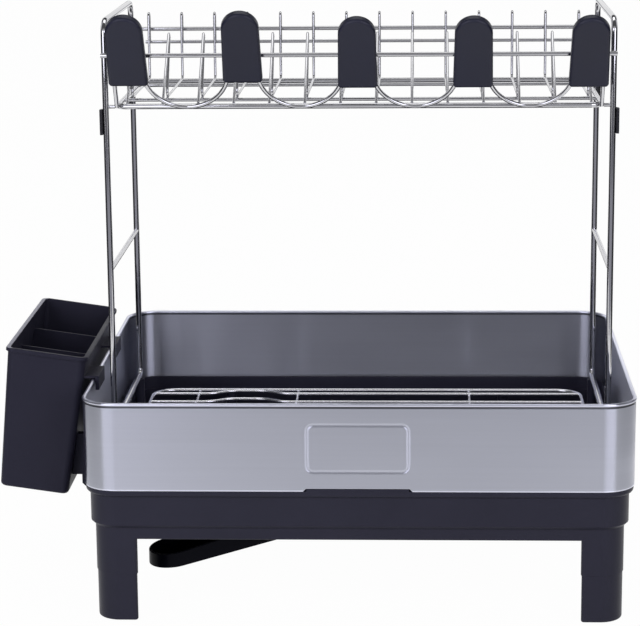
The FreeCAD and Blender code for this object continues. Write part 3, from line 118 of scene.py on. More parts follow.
def upright_corners(start, end, foot, top):
    """The corners of an upright sheet over the floor line from start to end."""
    return [(*start, foot), (*end, foot), (*end, top), (*start, top)]


# The camera and every reflection see the paper as nearly pure white, and only the light that it
# scatters is that of plain paper.
paper_reach, paper_level, paper_clean = 6.0, -0.0005, 0.98
sweep = sheet_object("paper_sweep",
                     floor_corners(paper_reach, -paper_reach, paper_reach, paper_level))
paper, tree = new_material("white_paper")
rays = add_node(tree, "ShaderNodeLightPath")
seen = add_node(tree, "ShaderNodeMath", {0: rays.outputs["Is Camera Ray"],
                                         1: rays.outputs["Is Glossy Ray"]}, operation="MAXIMUM")
clean = add_node(tree, "ShaderNodeMath", {0: seen.outputs[0], 1: paper_clean},
                 operation="MULTIPLY")
matte = add_node(tree, "ShaderNodeBsdfDiffuse", {"Color": (0.80, 0.80, 0.81, 1)})
white = add_node(tree, "ShaderNodeEmission", {"Color": (1, 1, 1, 1), "Strength": 1.0})
blend = add_node(tree, "ShaderNodeMixShader", {0: clean.outputs[0], 1: matte.outputs[0],
                                               2: white.outputs[0]})
add_node(tree, "ShaderNodeOutputMaterial", {"Surface": blend.outputs[0]})
sweep.data.materials.append(paper)

felt_blue = 1.12


def felt_card(name, corners, level):
    """A card that only reflections see, with an even grey level and a cool tint."""
    card = sheet_object(name, [(tray_middle.x + x, y, z) for x, y, z in corners])
    felt, tree = new_material(name + "_felt")
    even = add_node(tree, "ShaderNodeEmission", {"Color": (level, level, level * felt_blue, 1),
                                                 "Strength": 1.0})
    add_node(tree, "ShaderNodeOutputMaterial", {"Surface": even.outputs[0]})
    card.data.materials.append(felt)
    card.visible_camera = False
    card.visible_diffuse = False
    card.visible_shadow = False
    card.visible_transmission = False


felt_foot, wide_reach, front_end, rear_end = 0.002, 2.5, -3.4, 1.6
for side_name, x in (("left", -0.86), ("right", 0.86)):
    felt_card(f"{side_name}_dark_card",
              upright_corners((x, -0.80), (x, 0.80), 0.01, 0.62), 0.045)
for side_name, near, far, level in (("left", -0.40, -1.75, 2.40), ("right", 0.58, 1.75, 2.62)):
    felt_card(f"{side_name}_bounce_card",
              upright_corners((near, -1.9), (far, -1.7), 0.34, 1.7), level)
for range_name, front, back, level in (("far", front_end, -2.3, 0.20), ("near", -2.3, -0.85, 0.34)):
    felt_card(f"front_{range_name}_card",
              floor_corners(wide_reach, front, back, felt_foot), level)
felt_card("front_standing_card",
          upright_corners((-wide_reach, front_end), (wide_reach, front_end), felt_foot, 0.45), 0.12)
felt_card("rear_floor_card", floor_corners(0.8, 0.50, rear_end, felt_foot), 0.05)
felt_card("rear_dark_card",
          upright_corners((-wide_reach, rear_end), (wide_reach, rear_end), 1.2, 4.5), 0.06)

# The room beyond the cards is grey in front, dark overhead and bright at the rear.
world = bpy.data.worlds.new("studio")
world.use_nodes = True
bpy.context.scene.world = world
tree = world.node_tree
tree.nodes.clear()
ray_direction = add_node(tree, "ShaderNodeTexCoord")
parts = add_node(tree, "ShaderNodeSeparateXYZ", {0: ray_direction.outputs["Generated"]})
forward = add_node(tree, "ShaderNodeMath", {0: parts.outputs["Y"], 1: -1.0}, operation="MULTIPLY")
tilt = add_node(tree, "ShaderNodeMath", {0: parts.outputs["Z"], 1: forward.outputs[0]},
                operation="ARCTAN2")
share = add_node(tree, "ShaderNodeMapRange", {"Value": tilt.outputs[0], "From Min": 0.0,
                                              "From Max": pi})
room_stops = [(0.0, (0.42, 0.42, 0.45))]
room_stops += [(place, (level, level, level * 1.03))
               for place, level in ((0.22, 0.60), (0.29, 0.10), (0.56, 0.12), (0.70, 1.0))]
room_stops += [(1.0, (1, 1, 1))]
room = colour_ramp(tree, share.outputs[0], room_stops)
dim = add_node(tree, "ShaderNodeBackground", {"Color": room, "Strength": 0.9})
bright = add_node(tree, "ShaderNodeBackground", {"Color": (1, 1, 1, 1), "Strength": 1.0})
rays = add_node(tree, "ShaderNodeLightPath")
sky = add_node(tree, "ShaderNodeMixShader", {0: rays.outputs["Is Camera Ray"], 1: dim.outputs[0],
                                             2: bright.outputs[0]})
add_node(tree, "ShaderNodeOutputWorld", {"Surface": sky.outputs[0]})

rack_heart = Vector((tray_middle.x, 0, 0.2))


def softbox(name, place, size, power, mirrored):
    """A soft rectangular lamp aimed at the rack, and whether metal mirrors it."""
    lamp = bpy.data.lights.new(name, "AREA")
    lamp.shape = "RECTANGLE"
    lamp.size, lamp.size_y = size
    lamp.energy = power
    stand = new_object(name, lamp)
    stand.location = place
    aim = rack_heart - Vector(place)
    stand.rotation_euler = aim.to_track_quat("-Z", "Y").to_euler()
    stand.visible_glossy = mirrored


softbox("left_softbox", (tray_middle.x - 1.35, -1.8, 1.0), (1.15, 1.6), 27, mirrored=False)
softbox("right_softbox", (tray_middle.x + 1.35, -1.8, 1.0), (1.05, 1.6), 19, mirrored=False)
softbox("top_softbox", (tray_middle.x, 0.5, 2.2), (1.6, 1.0), 9, mirrored=True)

# ---- drip tray and legs -------------------------------------------------------------------
# One charcoal polypropylene moulding: lip, skirt, sloping floor and four leg stubs.  The legs
# are separate mouldings of angle section that plug in from below.  The surface is satin with a
# fine spark-eroded grain, and the edges are broken by the mould's small radii.


def new_group(name, kind, inputs, outputs):
    """An empty node group with named sockets, and its input and output nodes."""
    group = bpy.data.node_groups.new(name, kind)
    for way, sockets in (("INPUT", inputs), ("OUTPUT", outputs)):
        for socket_name, socket_kind in sockets.items():
            group.interface.new_socket(socket_name, in_out=way, socket_type=socket_kind)
    return group, group.nodes.new("NodeGroupInput"), group.nodes.new("NodeGroupOutput")


def grain_group():
    """A fine grain or ripple: a height for a bump, and a slow drift for shade and roughness."""
    group, given, result = new_group(
        "moulded_grain", "ShaderNodeTree",
        {"Vector": "NodeSocketVector", "Grain Size": "NodeSocketFloat",
         "Drift Size": "NodeSocketFloat"},
        {"Height": "NodeSocketFloat", "Drift": "NodeSocketFloat"})
    fine = add_node(group, "ShaderNodeMath", {0: 1.0, 1: given.outputs["Grain Size"]},
                    operation="DIVIDE")
    broad = add_node(group, "ShaderNodeMath", {0: 1.0, 1: given.outputs["Drift Size"]},
                     operation="DIVIDE")
    cells = add_node(group, "ShaderNodeTexNoise", {"Vector": given.outputs["Vector"],
                                                   "Scale": fine.outputs[0], "Detail": 2.0,
                                                   "Roughness": 0.6})
    clouds = add_node(group, "ShaderNodeTexNoise", {"Vector": given.outputs["Vector"],
                                                    "Scale": broad.outputs[0], "Detail": 3.0})
    group.links.new(cells.outputs[0], result.inputs["Height"])
    group.links.new(clouds.outputs[0], result.inputs["Drift"])
    return group


moulded_grain = grain_group()
noise_low, noise_high = 0.3, 0.7


def drifting_finish(name, dark, light, smooth, rough, grain_size, relief, specular=0.5,
                    metallic=0.0, drift_size=0.05):
    """A surface whose shade and gloss drift slowly, over a fine grain or a faint ripple."""
    material, tree = new_material(name)
    place = add_node(tree, "ShaderNodeTexCoord")
    grain = add_node(tree, "ShaderNodeGroup", {
        "Vector": place.outputs["Object"], "Grain Size": grain_size, "Drift Size": drift_size},
        node_tree=moulded_grain)
    shade = add_node(tree, "ShaderNodeMix", {
        "Factor": grain.outputs["Drift"], "A": (*dark, 1), "B": (*light, 1)}, data_type="RGBA")
    gloss = add_node(tree, "ShaderNodeMapRange", {"Value": grain.outputs["Drift"],
                                                  "From Min": noise_low,
                                                  "From Max": noise_high,
                                                  "To Min": smooth, "To Max": rough})
    bump = add_node(tree, "ShaderNodeBump", {"Height": grain.outputs["Height"],
                                             "Strength": relief, "Distance": 0.0002})
    skin = add_node(tree, "ShaderNodeBsdfPrincipled", {
        "Base Color": shade.outputs["Result"], "Roughness": gloss.outputs[0],
        "Normal": bump.outputs[0], "Specular IOR Level": specular, "Metallic": metallic})
    add_node(tree, "ShaderNodeOutputMaterial", {"Surface": skin.outputs[0]})
    return material


def bake_modifiers(piece):
    """Put the mesh that a piece's modifiers make in place of its own, and drop them."""
    plain = piece.data
    graph = bpy.context.evaluated_depsgraph_get()
    piece.data = bpy.data.meshes.new_from_object(piece.evaluated_get(graph))
    piece.modifiers.clear()
    bpy.data.meshes.remove(plain)
    piece.data.name = piece.name


seam_gap, flat_turn, edge_turn, crease_turn = 2e-6, radians(0.6), radians(24), radians(48)


def finished_copy(name, node, body, material, edge=0.0):
    """A clean copy of a hard piece: seams merged, flats joined, edges broken, smooth curves."""
    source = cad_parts[node]
    shell = bmesh.new()
    shell.from_mesh(source.data)
    bmesh.ops.transform(shell, matrix=source.matrix_world, verts=shell.verts)
    bmesh.ops.remove_doubles(shell, verts=shell.verts, dist=seam_gap)
    bmesh.ops.dissolve_limit(shell, angle_limit=flat_turn, verts=shell.verts,
                             edges=shell.edges)
    mesh = bpy.data.meshes.new(name)
    shell.to_mesh(mesh)
    shell.free()
    mesh.materials.append(material)
    piece = new_object(name, mesh)
    if edge:
        bevel = piece.modifiers.new("broken_edges", "BEVEL")
        bevel.width = edge
        bevel.segments = 2
        bevel.limit_method = "ANGLE"
        bevel.angle_limit = edge_turn
        bevel.miter_outer = "MITER_ARC"
        bake_modifiers(piece)
    piece.data.shade_smooth()
    piece.data.set_sharp_from_angle(angle=crease_turn)
    even = piece.modifiers.new("even_shading", "WEIGHTED_NORMAL")
    even.keep_sharp = True
    even.weight = 100
    bake_modifiers(piece)
    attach(piece, body)
    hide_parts(node)


moulded_edge = 0.0004
charcoal = drifting_finish("charcoal_polypropylene", dark=(0.0135, 0.0132, 0.0252),
                           light=(0.0195, 0.0190, 0.0335), smooth=0.34, rough=0.44,
                           grain_size=0.0009, relief=0.35, specular=0.18)
finished_copy("tray_moulding", "base_tray", "base", charcoal, moulded_edge)
for corner_name in ("front_left", "front_right", "rear_left", "rear_right"):
    finished_copy(f"{corner_name}_plug_in_leg", f"{corner_name}_leg", "base",
                  charcoal, moulded_edge)

# ---- drain spout --------------------------------------------------------------------------
# An open trough that swivels on the tray's outlet tube.  A snap ring holds its collar up
# against a rubber seal washer.
small_edge = 0.0002
# Black plastic, darkened further with painted shade for the deep shadow under the tray.
spout_black_painted_shade = drifting_finish("spout_polypropylene", dark=(0.0012, 0.0013, 0.0038),
                              light=(0.0024, 0.0026, 0.0060), smooth=0.30, rough=0.40,
                              grain_size=0.0009, relief=0.25, specular=0.05)
finished_copy("spout_trough", "drain_spout", "drain_spout", spout_black_painted_shade,
              moulded_edge)
ring_black = drifting_finish("acetal_black", dark=(0.006, 0.006, 0.007),
                             light=(0.010, 0.010, 0.012), smooth=0.30, rough=0.42,
                             grain_size=0.0006, relief=0.2, specular=0.4)
finished_copy("spout_snap_ring", "spout_retaining_ring", "base", ring_black,
              small_edge)
seal_black = drifting_finish("seal_rubber_black", dark=(0.012, 0.012, 0.012),
                             light=(0.020, 0.020, 0.020), smooth=0.60, rough=0.75,
                             grain_size=0.0005, relief=0.3, specular=0.25)
finished_copy("spout_seal_washer", "spout_seal", "base", seal_black, small_edge)

# ---- steel band ---------------------------------------------------------------------------
# A strip of 0.8 mm stainless sheet bent round four corners and welded shut, brushed along its
# length.  Its top edge is rolled over, its bottom edge is hemmed inwards, and the front carries
# a bare pressed frame.
band_low, band_high = (Vector(corner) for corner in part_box("steel_band"))
brushed, tree = new_material("brushed_stainless")
place = add_node(tree, "ShaderNodeTexCoord")
along = add_node(tree, "ShaderNodeMapping", {"Vector": place.outputs["Object"],
                                             "Scale": (5.0, 5.0, 420.0)})
lines = add_node(tree, "ShaderNodeTexNoise", {"Vector": along.outputs[0], "Scale": 1.0,
                                              "Detail": 1.0, "Roughness": 0.5})
broad = add_node(tree, "ShaderNodeMapping", {"Vector": place.outputs["Object"],
                                             "Scale": (7.0, 7.0, 30.0)})
cloud = add_node(tree, "ShaderNodeTexNoise", {"Vector": broad.outputs[0], "Scale": 1.0,
                                              "Detail": 2.0})
steel_shade = colour_ramp(tree, lines.outputs[0],
                          [(0.25, (0.972, 0.972, 0.972)), (0.75, (1.0, 1.0, 1.0))])

# Painted light by height: a painted highlight along both edges, and a painted shadow line under the
# rolled rim.
levels = add_node(tree, "ShaderNodeSeparateXYZ", {0: place.outputs["Object"]})
height_share = add_node(tree, "ShaderNodeMapRange", {
    "Value": levels.outputs["Z"], "From Min": band_low.z, "From Max": band_high.z})
edge_highlight = (0.86, 0.87, 1.0)
painted_light_stops = [(0.0, edge_highlight)]
painted_light_stops += [(share, (level, level * 1.025, level * 1.17))
               for share, level in ((0.013, 0.82), (0.019, 0.540), (0.940, 0.540),
                                    (0.950, 0.12), (0.966, 0.12), (0.972, 0.86))]
painted_light_stops += [(1.0, edge_highlight)]
painted_band_light = colour_ramp(tree, height_share.outputs[0], painted_light_stops)
# The brushed tone times the painted highlights and painted shadow line.
brushed_shade_with_painted_light = add_node(tree, "ShaderNodeMix", {"Factor": 1.0, "A": steel_shade, "B": painted_band_light},
                      data_type="RGBA", blend_type="MULTIPLY")

# The brushing runs round the rack, so reflections smear up and down across it.
scratch_gloss = add_node(tree, "ShaderNodeMapRange", {
    "Value": cloud.outputs[0], "From Min": noise_low, "From Max": noise_high,
    "To Min": 0.29, "To Max": 0.35})
scratch_bump = add_node(tree, "ShaderNodeBump", {"Height": cloud.outputs[0], "Strength": 0.04,
                                                 "Distance": 0.0001})
round_z = add_node(tree, "ShaderNodeTangent", direction_type="RADIAL", axis="Z")
skin = add_node(tree, "ShaderNodeBsdfPrincipled", {
    "Base Color": brushed_shade_with_painted_light.outputs["Result"], "Roughness": scratch_gloss.outputs[0],
    "Metallic": 1.0, "Normal": scratch_bump.outputs[0], "Anisotropic": 0.92,
    "Anisotropic Rotation": 0.25, "Tangent": round_z.outputs[0]})
add_node(tree, "ShaderNodeOutputMaterial", {"Surface": skin.outputs[0]})

rim_proud, rim_radius, sheet, hem, support = 0.6, 1.5, 0.8, 2.4, 0.6
band_x = (band_high.x - band_low.x) * 500 - rim_proud
band_y = (band_high.y - band_low.y) * 500 - rim_proud
band_seat, band_rim, band_bend = band_low.z * 1000, band_high.z * 1000, 27
notch_half, notch_rise = 41, 2.4
panel_x, panel_z, panel_bend, panel_share, panel_margin = 41, 20, 6, 0.49, 5
panel_level = band_seat + (band_rim - band_seat) * panel_share
window_x, window_z = panel_x + panel_margin, panel_z + panel_margin

# The sheet's section, as (distance outwards from the face, height), once round: up the face,
# over the rolled bead, down the inside and round the hem.
neck_low, neck_high, neck_back, neck_in = 4.2, 3.6, 3.4, 0.5
edge_soft, edge_chord = 0.3, 0.09
section = [(-edge_soft, band_seat), (-edge_chord, band_seat + edge_chord),
           (0, band_seat + edge_soft), (0, band_seat + support),
           (0, panel_level - window_z), (0, panel_level + window_z),
           (0, band_rim - neck_low), (-neck_in, band_rim - neck_high)]
bead_steps, bead_start, bead_end, bead_in = 22, -72, 273.8, 0.9
for step in range(bead_steps + 1):
    turn = radians(bead_start + (bead_end - bead_start) * step / bead_steps)
    section.append((-bead_in + rim_radius * cos(turn), band_rim - rim_radius * (1 - sin(turn))))
section += [(-sheet, band_rim - neck_back), (-sheet, band_seat + sheet + support),
            (-sheet, band_seat + sheet), (-hem + edge_soft, band_seat + sheet),
            (-hem, band_seat + sheet - edge_soft), (-hem, band_seat + edge_soft),
            (-hem + edge_soft, band_seat)]

# Stations round the rack: the middle of the bend there, and the way that the face looks.
right_places = [20, notch_half, notch_half + notch_rise, window_x, 100, 150]
front_places = [-x for x in reversed(right_places)] + [0] + right_places
stations = [((x, -band_y + band_bend), -pi / 2) for x in front_places]
round_corners = ((1, -1, -pi / 2), (1, 1, 0), (-1, 1, pi / 2), (-1, -1, pi))
arc_steps = 18
for sign_x, sign_y, start in round_corners:
    middle = Vector((sign_x * (band_x - band_bend), sign_y * (band_y - band_bend)))
    travel = Vector((-sin(start), cos(start)))
    stations.append((tuple(middle - travel * support), start))
    for step in range(arc_steps + 1):
        stations.append((tuple(middle), start + pi / 2 * step / arc_steps))
    travel = Vector((-cos(start), -sin(start)))
    stations.append((tuple(middle + travel * support), start + pi / 2))
notch_margin = 0.01


def notch_lift(x, y, height):
    """How far the lower edge rises over the tray's locating tab."""
    above = height > band_seat + sheet + support + notch_margin
    if y > 0 or above or abs(x) > notch_half + notch_margin:
        return 0.0
    return notch_rise


def from_mm(x, y, z):
    """A place in metres from one in mm, with x counted from the tray's middle."""
    return tray_middle.x + x / 1000, y / 1000, z / 1000


band_points, band_faces = [], []
for (middle_x, middle_y), facing in stations:
    for out, height in section:
        x = middle_x + (band_bend + out) * cos(facing)
        y = middle_y + (band_bend + out) * sin(facing)
        band_points.append(from_mm(x, y, height + notch_lift(x, y, height)))
ring = len(section)
window_row = section.index((0, panel_level - window_z))
window_columns = range(front_places.index(-window_x), front_places.index(window_x))
for column in range(len(stations)):
    after = (column + 1) % len(stations)
    for row in range(ring):
        if row == window_row and column in window_columns:
            continue
        over = (row + 1) % ring
        band_faces.append((column * ring + row, after * ring + row, after * ring + over,
                           column * ring + over))
band_mesh = bpy.data.meshes.new("brushed_band")
band_mesh.from_pydata(band_points, [], band_faces)
band = bmesh.new()
band.from_mesh(band_mesh)
window_rim = [edge for edge in band.edges if edge.is_boundary]

# The pressed frame: rings of a rounded rectangle, each a little deeper, then flat again.
press = [(1.3, 0.0), (0.9, 0.0), (0.5, 0.05), (0.1, 0.20), (-0.3, 0.38), (-0.9, 0.48),
         (-1.5, 0.38), (-1.9, 0.20), (-2.3, 0.05), (-2.7, 0.0), (-3.1, 0.0)]
press_steps = 10
press_rings = []
for grow, depth in press:
    loop = []
    for sign_x, sign_z, start in round_corners:
        for step in range(press_steps + 1):
            turn = start + pi / 2 * step / press_steps
            x = sign_x * (panel_x - panel_bend) + (panel_bend + grow) * cos(turn)
            z = sign_z * (panel_z - panel_bend) + (panel_bend + grow) * sin(turn) + panel_level
            loop.append(band.verts.new(from_mm(x, depth - band_y, z)))
    press_rings.append(loop)
for outer, inner in zip(press_rings, press_rings[1:]):
    for index in range(len(outer)):
        after = (index + 1) % len(outer)
        band.faces.new((outer[index], outer[after], inner[after], inner[index]))
band.faces.new(press_rings[-1])
outer_loop = press_rings[0]
outer_edges = [band.edges.get((start, end))
               for start, end in zip(outer_loop, outer_loop[1:] + outer_loop[:1])]
bmesh.ops.triangle_fill(band, use_beauty=True, edges=window_rim + outer_edges,
                        normal=(0, -1, 0))


def closed_shell(shell, mesh, crease):
    """Merge a shell's seams, face it outwards, write it to its mesh and shade it smooth."""
    bmesh.ops.remove_doubles(shell, verts=shell.verts, dist=1e-6)
    bmesh.ops.recalc_face_normals(shell, faces=shell.faces)
    shell.to_mesh(mesh)
    shell.free()
    mesh.shade_smooth()
    mesh.set_sharp_from_angle(angle=radians(crease))


closed_shell(band, band_mesh, crease=34)
band_mesh.materials.append(brushed)
brushed_band = new_object("brushed_band", band_mesh)
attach(brushed_band, "base")
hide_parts("steel_band")

# ---- dish grid ----------------------------------------------------------------------------
# A mat of hard steel wire, bent to shape, resistance-welded where wires cross, and chromed.
# Ten cross wires bow to the rear over one bay, and three depth wires run under them.


def bent_wire_tree():
    """Corner points joined by edges become round wire; each corner keeps its own bend."""
    group, given, result = new_group(
        "bent_wire", "GeometryNodeTree",
        {"Line": "NodeSocketGeometry", "Wire Diameter": "NodeSocketFloat",
         "Bend Steps": "NodeSocketInt", "Round Steps": "NodeSocketInt",
         "Finish": "NodeSocketMaterial"},
        {"Wire": "NodeSocketGeometry"})
    group.is_modifier = True
    line = add_node(group, "GeometryNodeMeshToCurve", {"Mesh": given.outputs["Line"]})
    bend = add_node(group, "GeometryNodeInputNamedAttribute", {"Name": "bend"},
                    data_type="FLOAT")
    bent = add_node(group, "GeometryNodeFilletCurve", {
        "Curve": line.outputs["Curve"], "Count": given.outputs["Bend Steps"],
        "Radius": bend.outputs["Attribute"], "Limit Radius": True}, mode="POLY")
    radius = add_node(group, "ShaderNodeMath", {0: given.outputs["Wire Diameter"], 1: 0.5},
                      operation="MULTIPLY")
    profile = add_node(group, "GeometryNodeCurvePrimitiveCircle", {
        "Resolution": given.outputs["Round Steps"], "Radius": radius.outputs[0]})
    drawn = add_node(group, "GeometryNodeCurveToMesh", {
        "Curve": bent.outputs["Curve"], "Profile Curve": profile.outputs["Curve"],
        "Fill Caps": True})
    whole = add_node(group, "GeometryNodeRealizeInstances", {"Geometry": drawn.outputs["Mesh"]})
    finish = add_node(group, "GeometryNodeSetMaterial", {
        "Geometry": whole.outputs["Geometry"], "Material": given.outputs["Finish"]})
    group.links.new(finish.outputs["Geometry"], result.inputs["Wire"])
    return group


def weld_bead_tree():
    """Each point becomes a small flattened weld bead."""
    group, given, result = new_group(
        "weld_beads", "GeometryNodeTree",
        {"Points": "NodeSocketGeometry", "Bead Radius": "NodeSocketFloat",
         "Flatness": "NodeSocketVector", "Finish": "NodeSocketMaterial"},
        {"Beads": "NodeSocketGeometry"})
    group.is_modifier = True
    ball = add_node(group, "GeometryNodeMeshIcoSphere", {
        "Radius": given.outputs["Bead Radius"], "Subdivisions": 2})
    spots = add_node(group, "GeometryNodeInstanceOnPoints", {
        "Points": given.outputs["Points"], "Instance": ball.outputs["Mesh"],
        "Scale": given.outputs["Flatness"]})
    whole = add_node(group, "GeometryNodeRealizeInstances",
                     {"Geometry": spots.outputs["Instances"]})
    finish = add_node(group, "GeometryNodeSetMaterial", {
        "Geometry": whole.outputs["Geometry"], "Material": given.outputs["Finish"]})
    group.links.new(finish.outputs["Geometry"], result.inputs["Beads"])
    return group


bent_wire = bent_wire_tree()
weld_beads = weld_bead_tree()


def grown_mesh(name, points, edges, bends, group, inputs):
    """Run a node tree over loose points and edges, and return the plain mesh that it makes."""
    seed_mesh = bpy.data.meshes.new(name + "_seed")
    seed_mesh.from_pydata(points, edges, [])
    attribute = seed_mesh.attributes.new("bend", "FLOAT", "POINT")
    attribute.data.foreach_set("value", bends)
    seed = new_object(name + "_seed", seed_mesh)
    modifier = seed.modifiers.new("grow", "NODES")
    modifier.node_group = group
    for item in group.interface.items_tree:
        if item.in_out == "INPUT" and item.name in inputs:
            modifier[item.identifier] = inputs[item.name]
    graph = bpy.context.evaluated_depsgraph_get()
    mesh = bpy.data.meshes.new_from_object(seed.evaluated_get(graph))
    mesh.name = name
    bpy.data.objects.remove(seed)
    bpy.data.meshes.remove(seed_mesh)
    return mesh


chrome = drifting_finish("polished_chrome", dark=(0.56, 0.56, 0.58), light=(0.68, 0.68, 0.70),
                         smooth=0.05, rough=0.11, grain_size=0.004, relief=0.05, metallic=1.0,
                         drift_size=0.03)
# The grid's chrome is painted far paler than the other chrome: a painted highlight for the overhead
# light that the grid catches.
grid_chrome_painted_light = drifting_finish("grid_chrome_painted_light", dark=(0.84, 0.84, 0.87),
                              light=(0.93, 0.93, 0.96), smooth=0.16, rough=0.26,
                              grain_size=0.004, relief=0.05, metallic=1.0, drift_size=0.03)


def straight(start, end):
    """The run of a straight wire between two points in mm."""
    return [start, end], [0, 0], False


def wire_piece(name, body, nodes, diameter, runs, bend_steps=8, round_steps=20, plate=chrome):
    """Bend wires from runs of (points in mm, bends in mm, closed) and stand them in for nodes."""
    points, edges, bends = [], [], []
    for corners, radii, closed in runs:
        first = len(points)
        points += [from_mm(*corner) for corner in corners]
        bends += [radius / 1000 for radius in radii]
        last = len(points) - 1
        edges += [(index, index + 1) for index in range(first, last)]
        if closed:
            edges.append((last, first))
    mesh = grown_mesh(name, points, edges, bends, bent_wire, {
        "Wire Diameter": diameter / 1000, "Bend Steps": bend_steps,
        "Round Steps": round_steps, "Finish": plate})
    shell = bmesh.new()
    shell.from_mesh(mesh)
    closed_shell(shell, mesh, crease=50)
    piece = new_object(name, mesh)
    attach(piece, body)
    for node in nodes:
        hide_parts(node)


def weld_piece(name, body, spots, radius, flatness, plate=chrome):
    """Small beads of metal squeezed out where wires are welded, at points in mm."""
    points = [from_mm(*spot) for spot in spots]
    mesh = grown_mesh(name, points, [], [0.0] * len(points), weld_beads, {
        "Bead Radius": radius / 1000, "Flatness": flatness, "Finish": plate})
    mesh.shade_smooth()
    piece = new_object(name, mesh)
    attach(piece, body)


def level_corners(reach_x, reach_y, z):
    """The four corners of a level loop of wire."""
    return [(-reach_x, -reach_y, z), (reach_x, -reach_y, z), (reach_x, reach_y, z),
            (-reach_x, reach_y, z)]


def box_in_mm(node):
    """The middle and the half size of a CAD node's box, each along x, y and z."""
    low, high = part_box(node)
    middle = [(start + end) * 500 for start, end in zip(low, high)]
    half = [(end - start) * 500 for start, end in zip(low, high)]
    return middle, half


grid_wire, grid_bar, grid_bend, wire_sink, weld_sink = 3.5, 3.0, 22, 0.3, 0.1
grid_middle, grid_half = box_in_mm("grid_frame_wire")
grid_x, grid_y = grid_half[0] - grid_wire / 2, grid_half[1] - grid_wire / 2
grid_z = grid_middle[2]
wire_piece("grid_frame", "dish_grid", ["grid_frame_wire"], grid_wire,
           [(level_corners(grid_x, grid_y, grid_z), [grid_bend] * 4, True)], bend_steps=12,
           plate=grid_chrome_painted_light)

bay_left, bay_middle, bay_right = -154, -63, 94
bow_gap, bow_rise, bow_share, bow_bend = 12, 11, 0.28, 24
bow_left, bow_right = bay_left + bow_gap, bay_middle - bow_gap
bow_slope = (bow_right - bow_left) * bow_share
bar_end = grid_x - grid_wire / 2 + wire_sink
bar_count, bar_inset = 10, 14
bar_first = -(grid_y - bar_inset)
bar_places = [bar_first - 2 * bar_first * index / (bar_count - 1) for index in range(bar_count)]
cross_runs = []
for y in bar_places:
    cross_runs.append(([(-bar_end, y, grid_z), (bow_left, y, grid_z),
                        (bow_left + bow_slope, y + bow_rise, grid_z),
                        (bow_right - bow_slope, y + bow_rise, grid_z),
                        (bow_right, y, grid_z), (bar_end, y, grid_z)],
                       [0, bow_bend, bow_bend, bow_bend, bow_bend, 0], False))
wire_piece("grid_cross_bars", "dish_grid", ["grid_cross_wires"], grid_bar, cross_runs,
           plate=grid_chrome_painted_light)

bar_under = grid_z - grid_bar + wire_sink
wire_piece("grid_depth_bars", "dish_grid", ["grid_depth_wires"], grid_bar,
           [straight((x, -grid_y, bar_under), (x, grid_y, bar_under))
            for x in (bay_left, bay_middle, bay_right)], plate=grid_chrome_painted_light)
grid_weld_z = grid_z - grid_bar / 2 + weld_sink
grid_weld_x = grid_x - grid_wire / 2 + weld_sink
weld_piece("grid_welds", "dish_grid",
           [(x, y, grid_weld_z) for x in (bay_left, bay_middle, bay_right) for y in bar_places]
           + [(x, y, grid_z) for x in (-grid_weld_x, grid_weld_x) for y in bar_places],
           radius=1.7, flatness=(1.0, 1.0, 0.7), plate=grid_chrome_painted_light)

# ---- side frames and tie rails ------------------------------------------------------------
# Each side frame is a closed loop of 5 mm wire with a thinner bar across its middle and two
# pins under it that stand in the tray's columns.  Two rails tie the posts at the top.
post_wire, brace_wire, tie_wire, top_bend, foot_bend = 5.0, 4.0, 3.6, 12, 6
frame_middle, frame_half = box_in_mm("left_side_frame")
post_x = tray_middle.x * 1000 - frame_middle[0]
post_y = frame_half[1] - post_wire / 2
frame_top = frame_middle[2] + frame_half[2] - post_wire / 2
frame_foot = frame_middle[2] - frame_half[2] + post_wire / 2
brace_middle, brace_half = box_in_mm("left_middle_bar")
brace_reach, brace_z = brace_half[1], brace_middle[2]
pin_middle, pin_half = box_in_mm("left_frame_pins")
pin_y = pin_half[1] - post_wire / 2
pin_foot, pin_top = pin_middle[2] - pin_half[2], pin_middle[2] + pin_half[2]
for side_name, side in (("left", -1), ("right", 1)):
    x = side * post_x
    wire_piece(f"{side_name}_loop", "upper_rack", [f"{side_name}_side_frame"], post_wire,
               [([(x, -post_y, frame_top), (x, post_y, frame_top), (x, post_y, frame_foot),
                  (x, -post_y, frame_foot)], [top_bend, top_bend, foot_bend, foot_bend], True)],
               bend_steps=10, round_steps=28)
    wire_piece(f"{side_name}_brace", "upper_rack", [f"{side_name}_middle_bar"], brace_wire,
               [straight((x, -brace_reach, brace_z), (x, brace_reach, brace_z))])
    wire_piece(f"{side_name}_pins", "upper_rack", [f"{side_name}_frame_pins"], post_wire,
               [straight((x, y, pin_foot), (x, y, pin_top)) for y in (-pin_y, pin_y)])
tie_places = []
for end_name in ("front", "rear"):
    (_, tie_y, tie_z), (tie_reach, _, _) = box_in_mm(f"{end_name}_tie_rail")
    tie_places.append((tie_y, tie_z))
    wire_piece(f"{end_name}_tie", "upper_rack", [f"{end_name}_tie_rail"], tie_wire,
               [straight((-tie_reach, tie_y, tie_z), (tie_reach, tie_y, tie_z))])

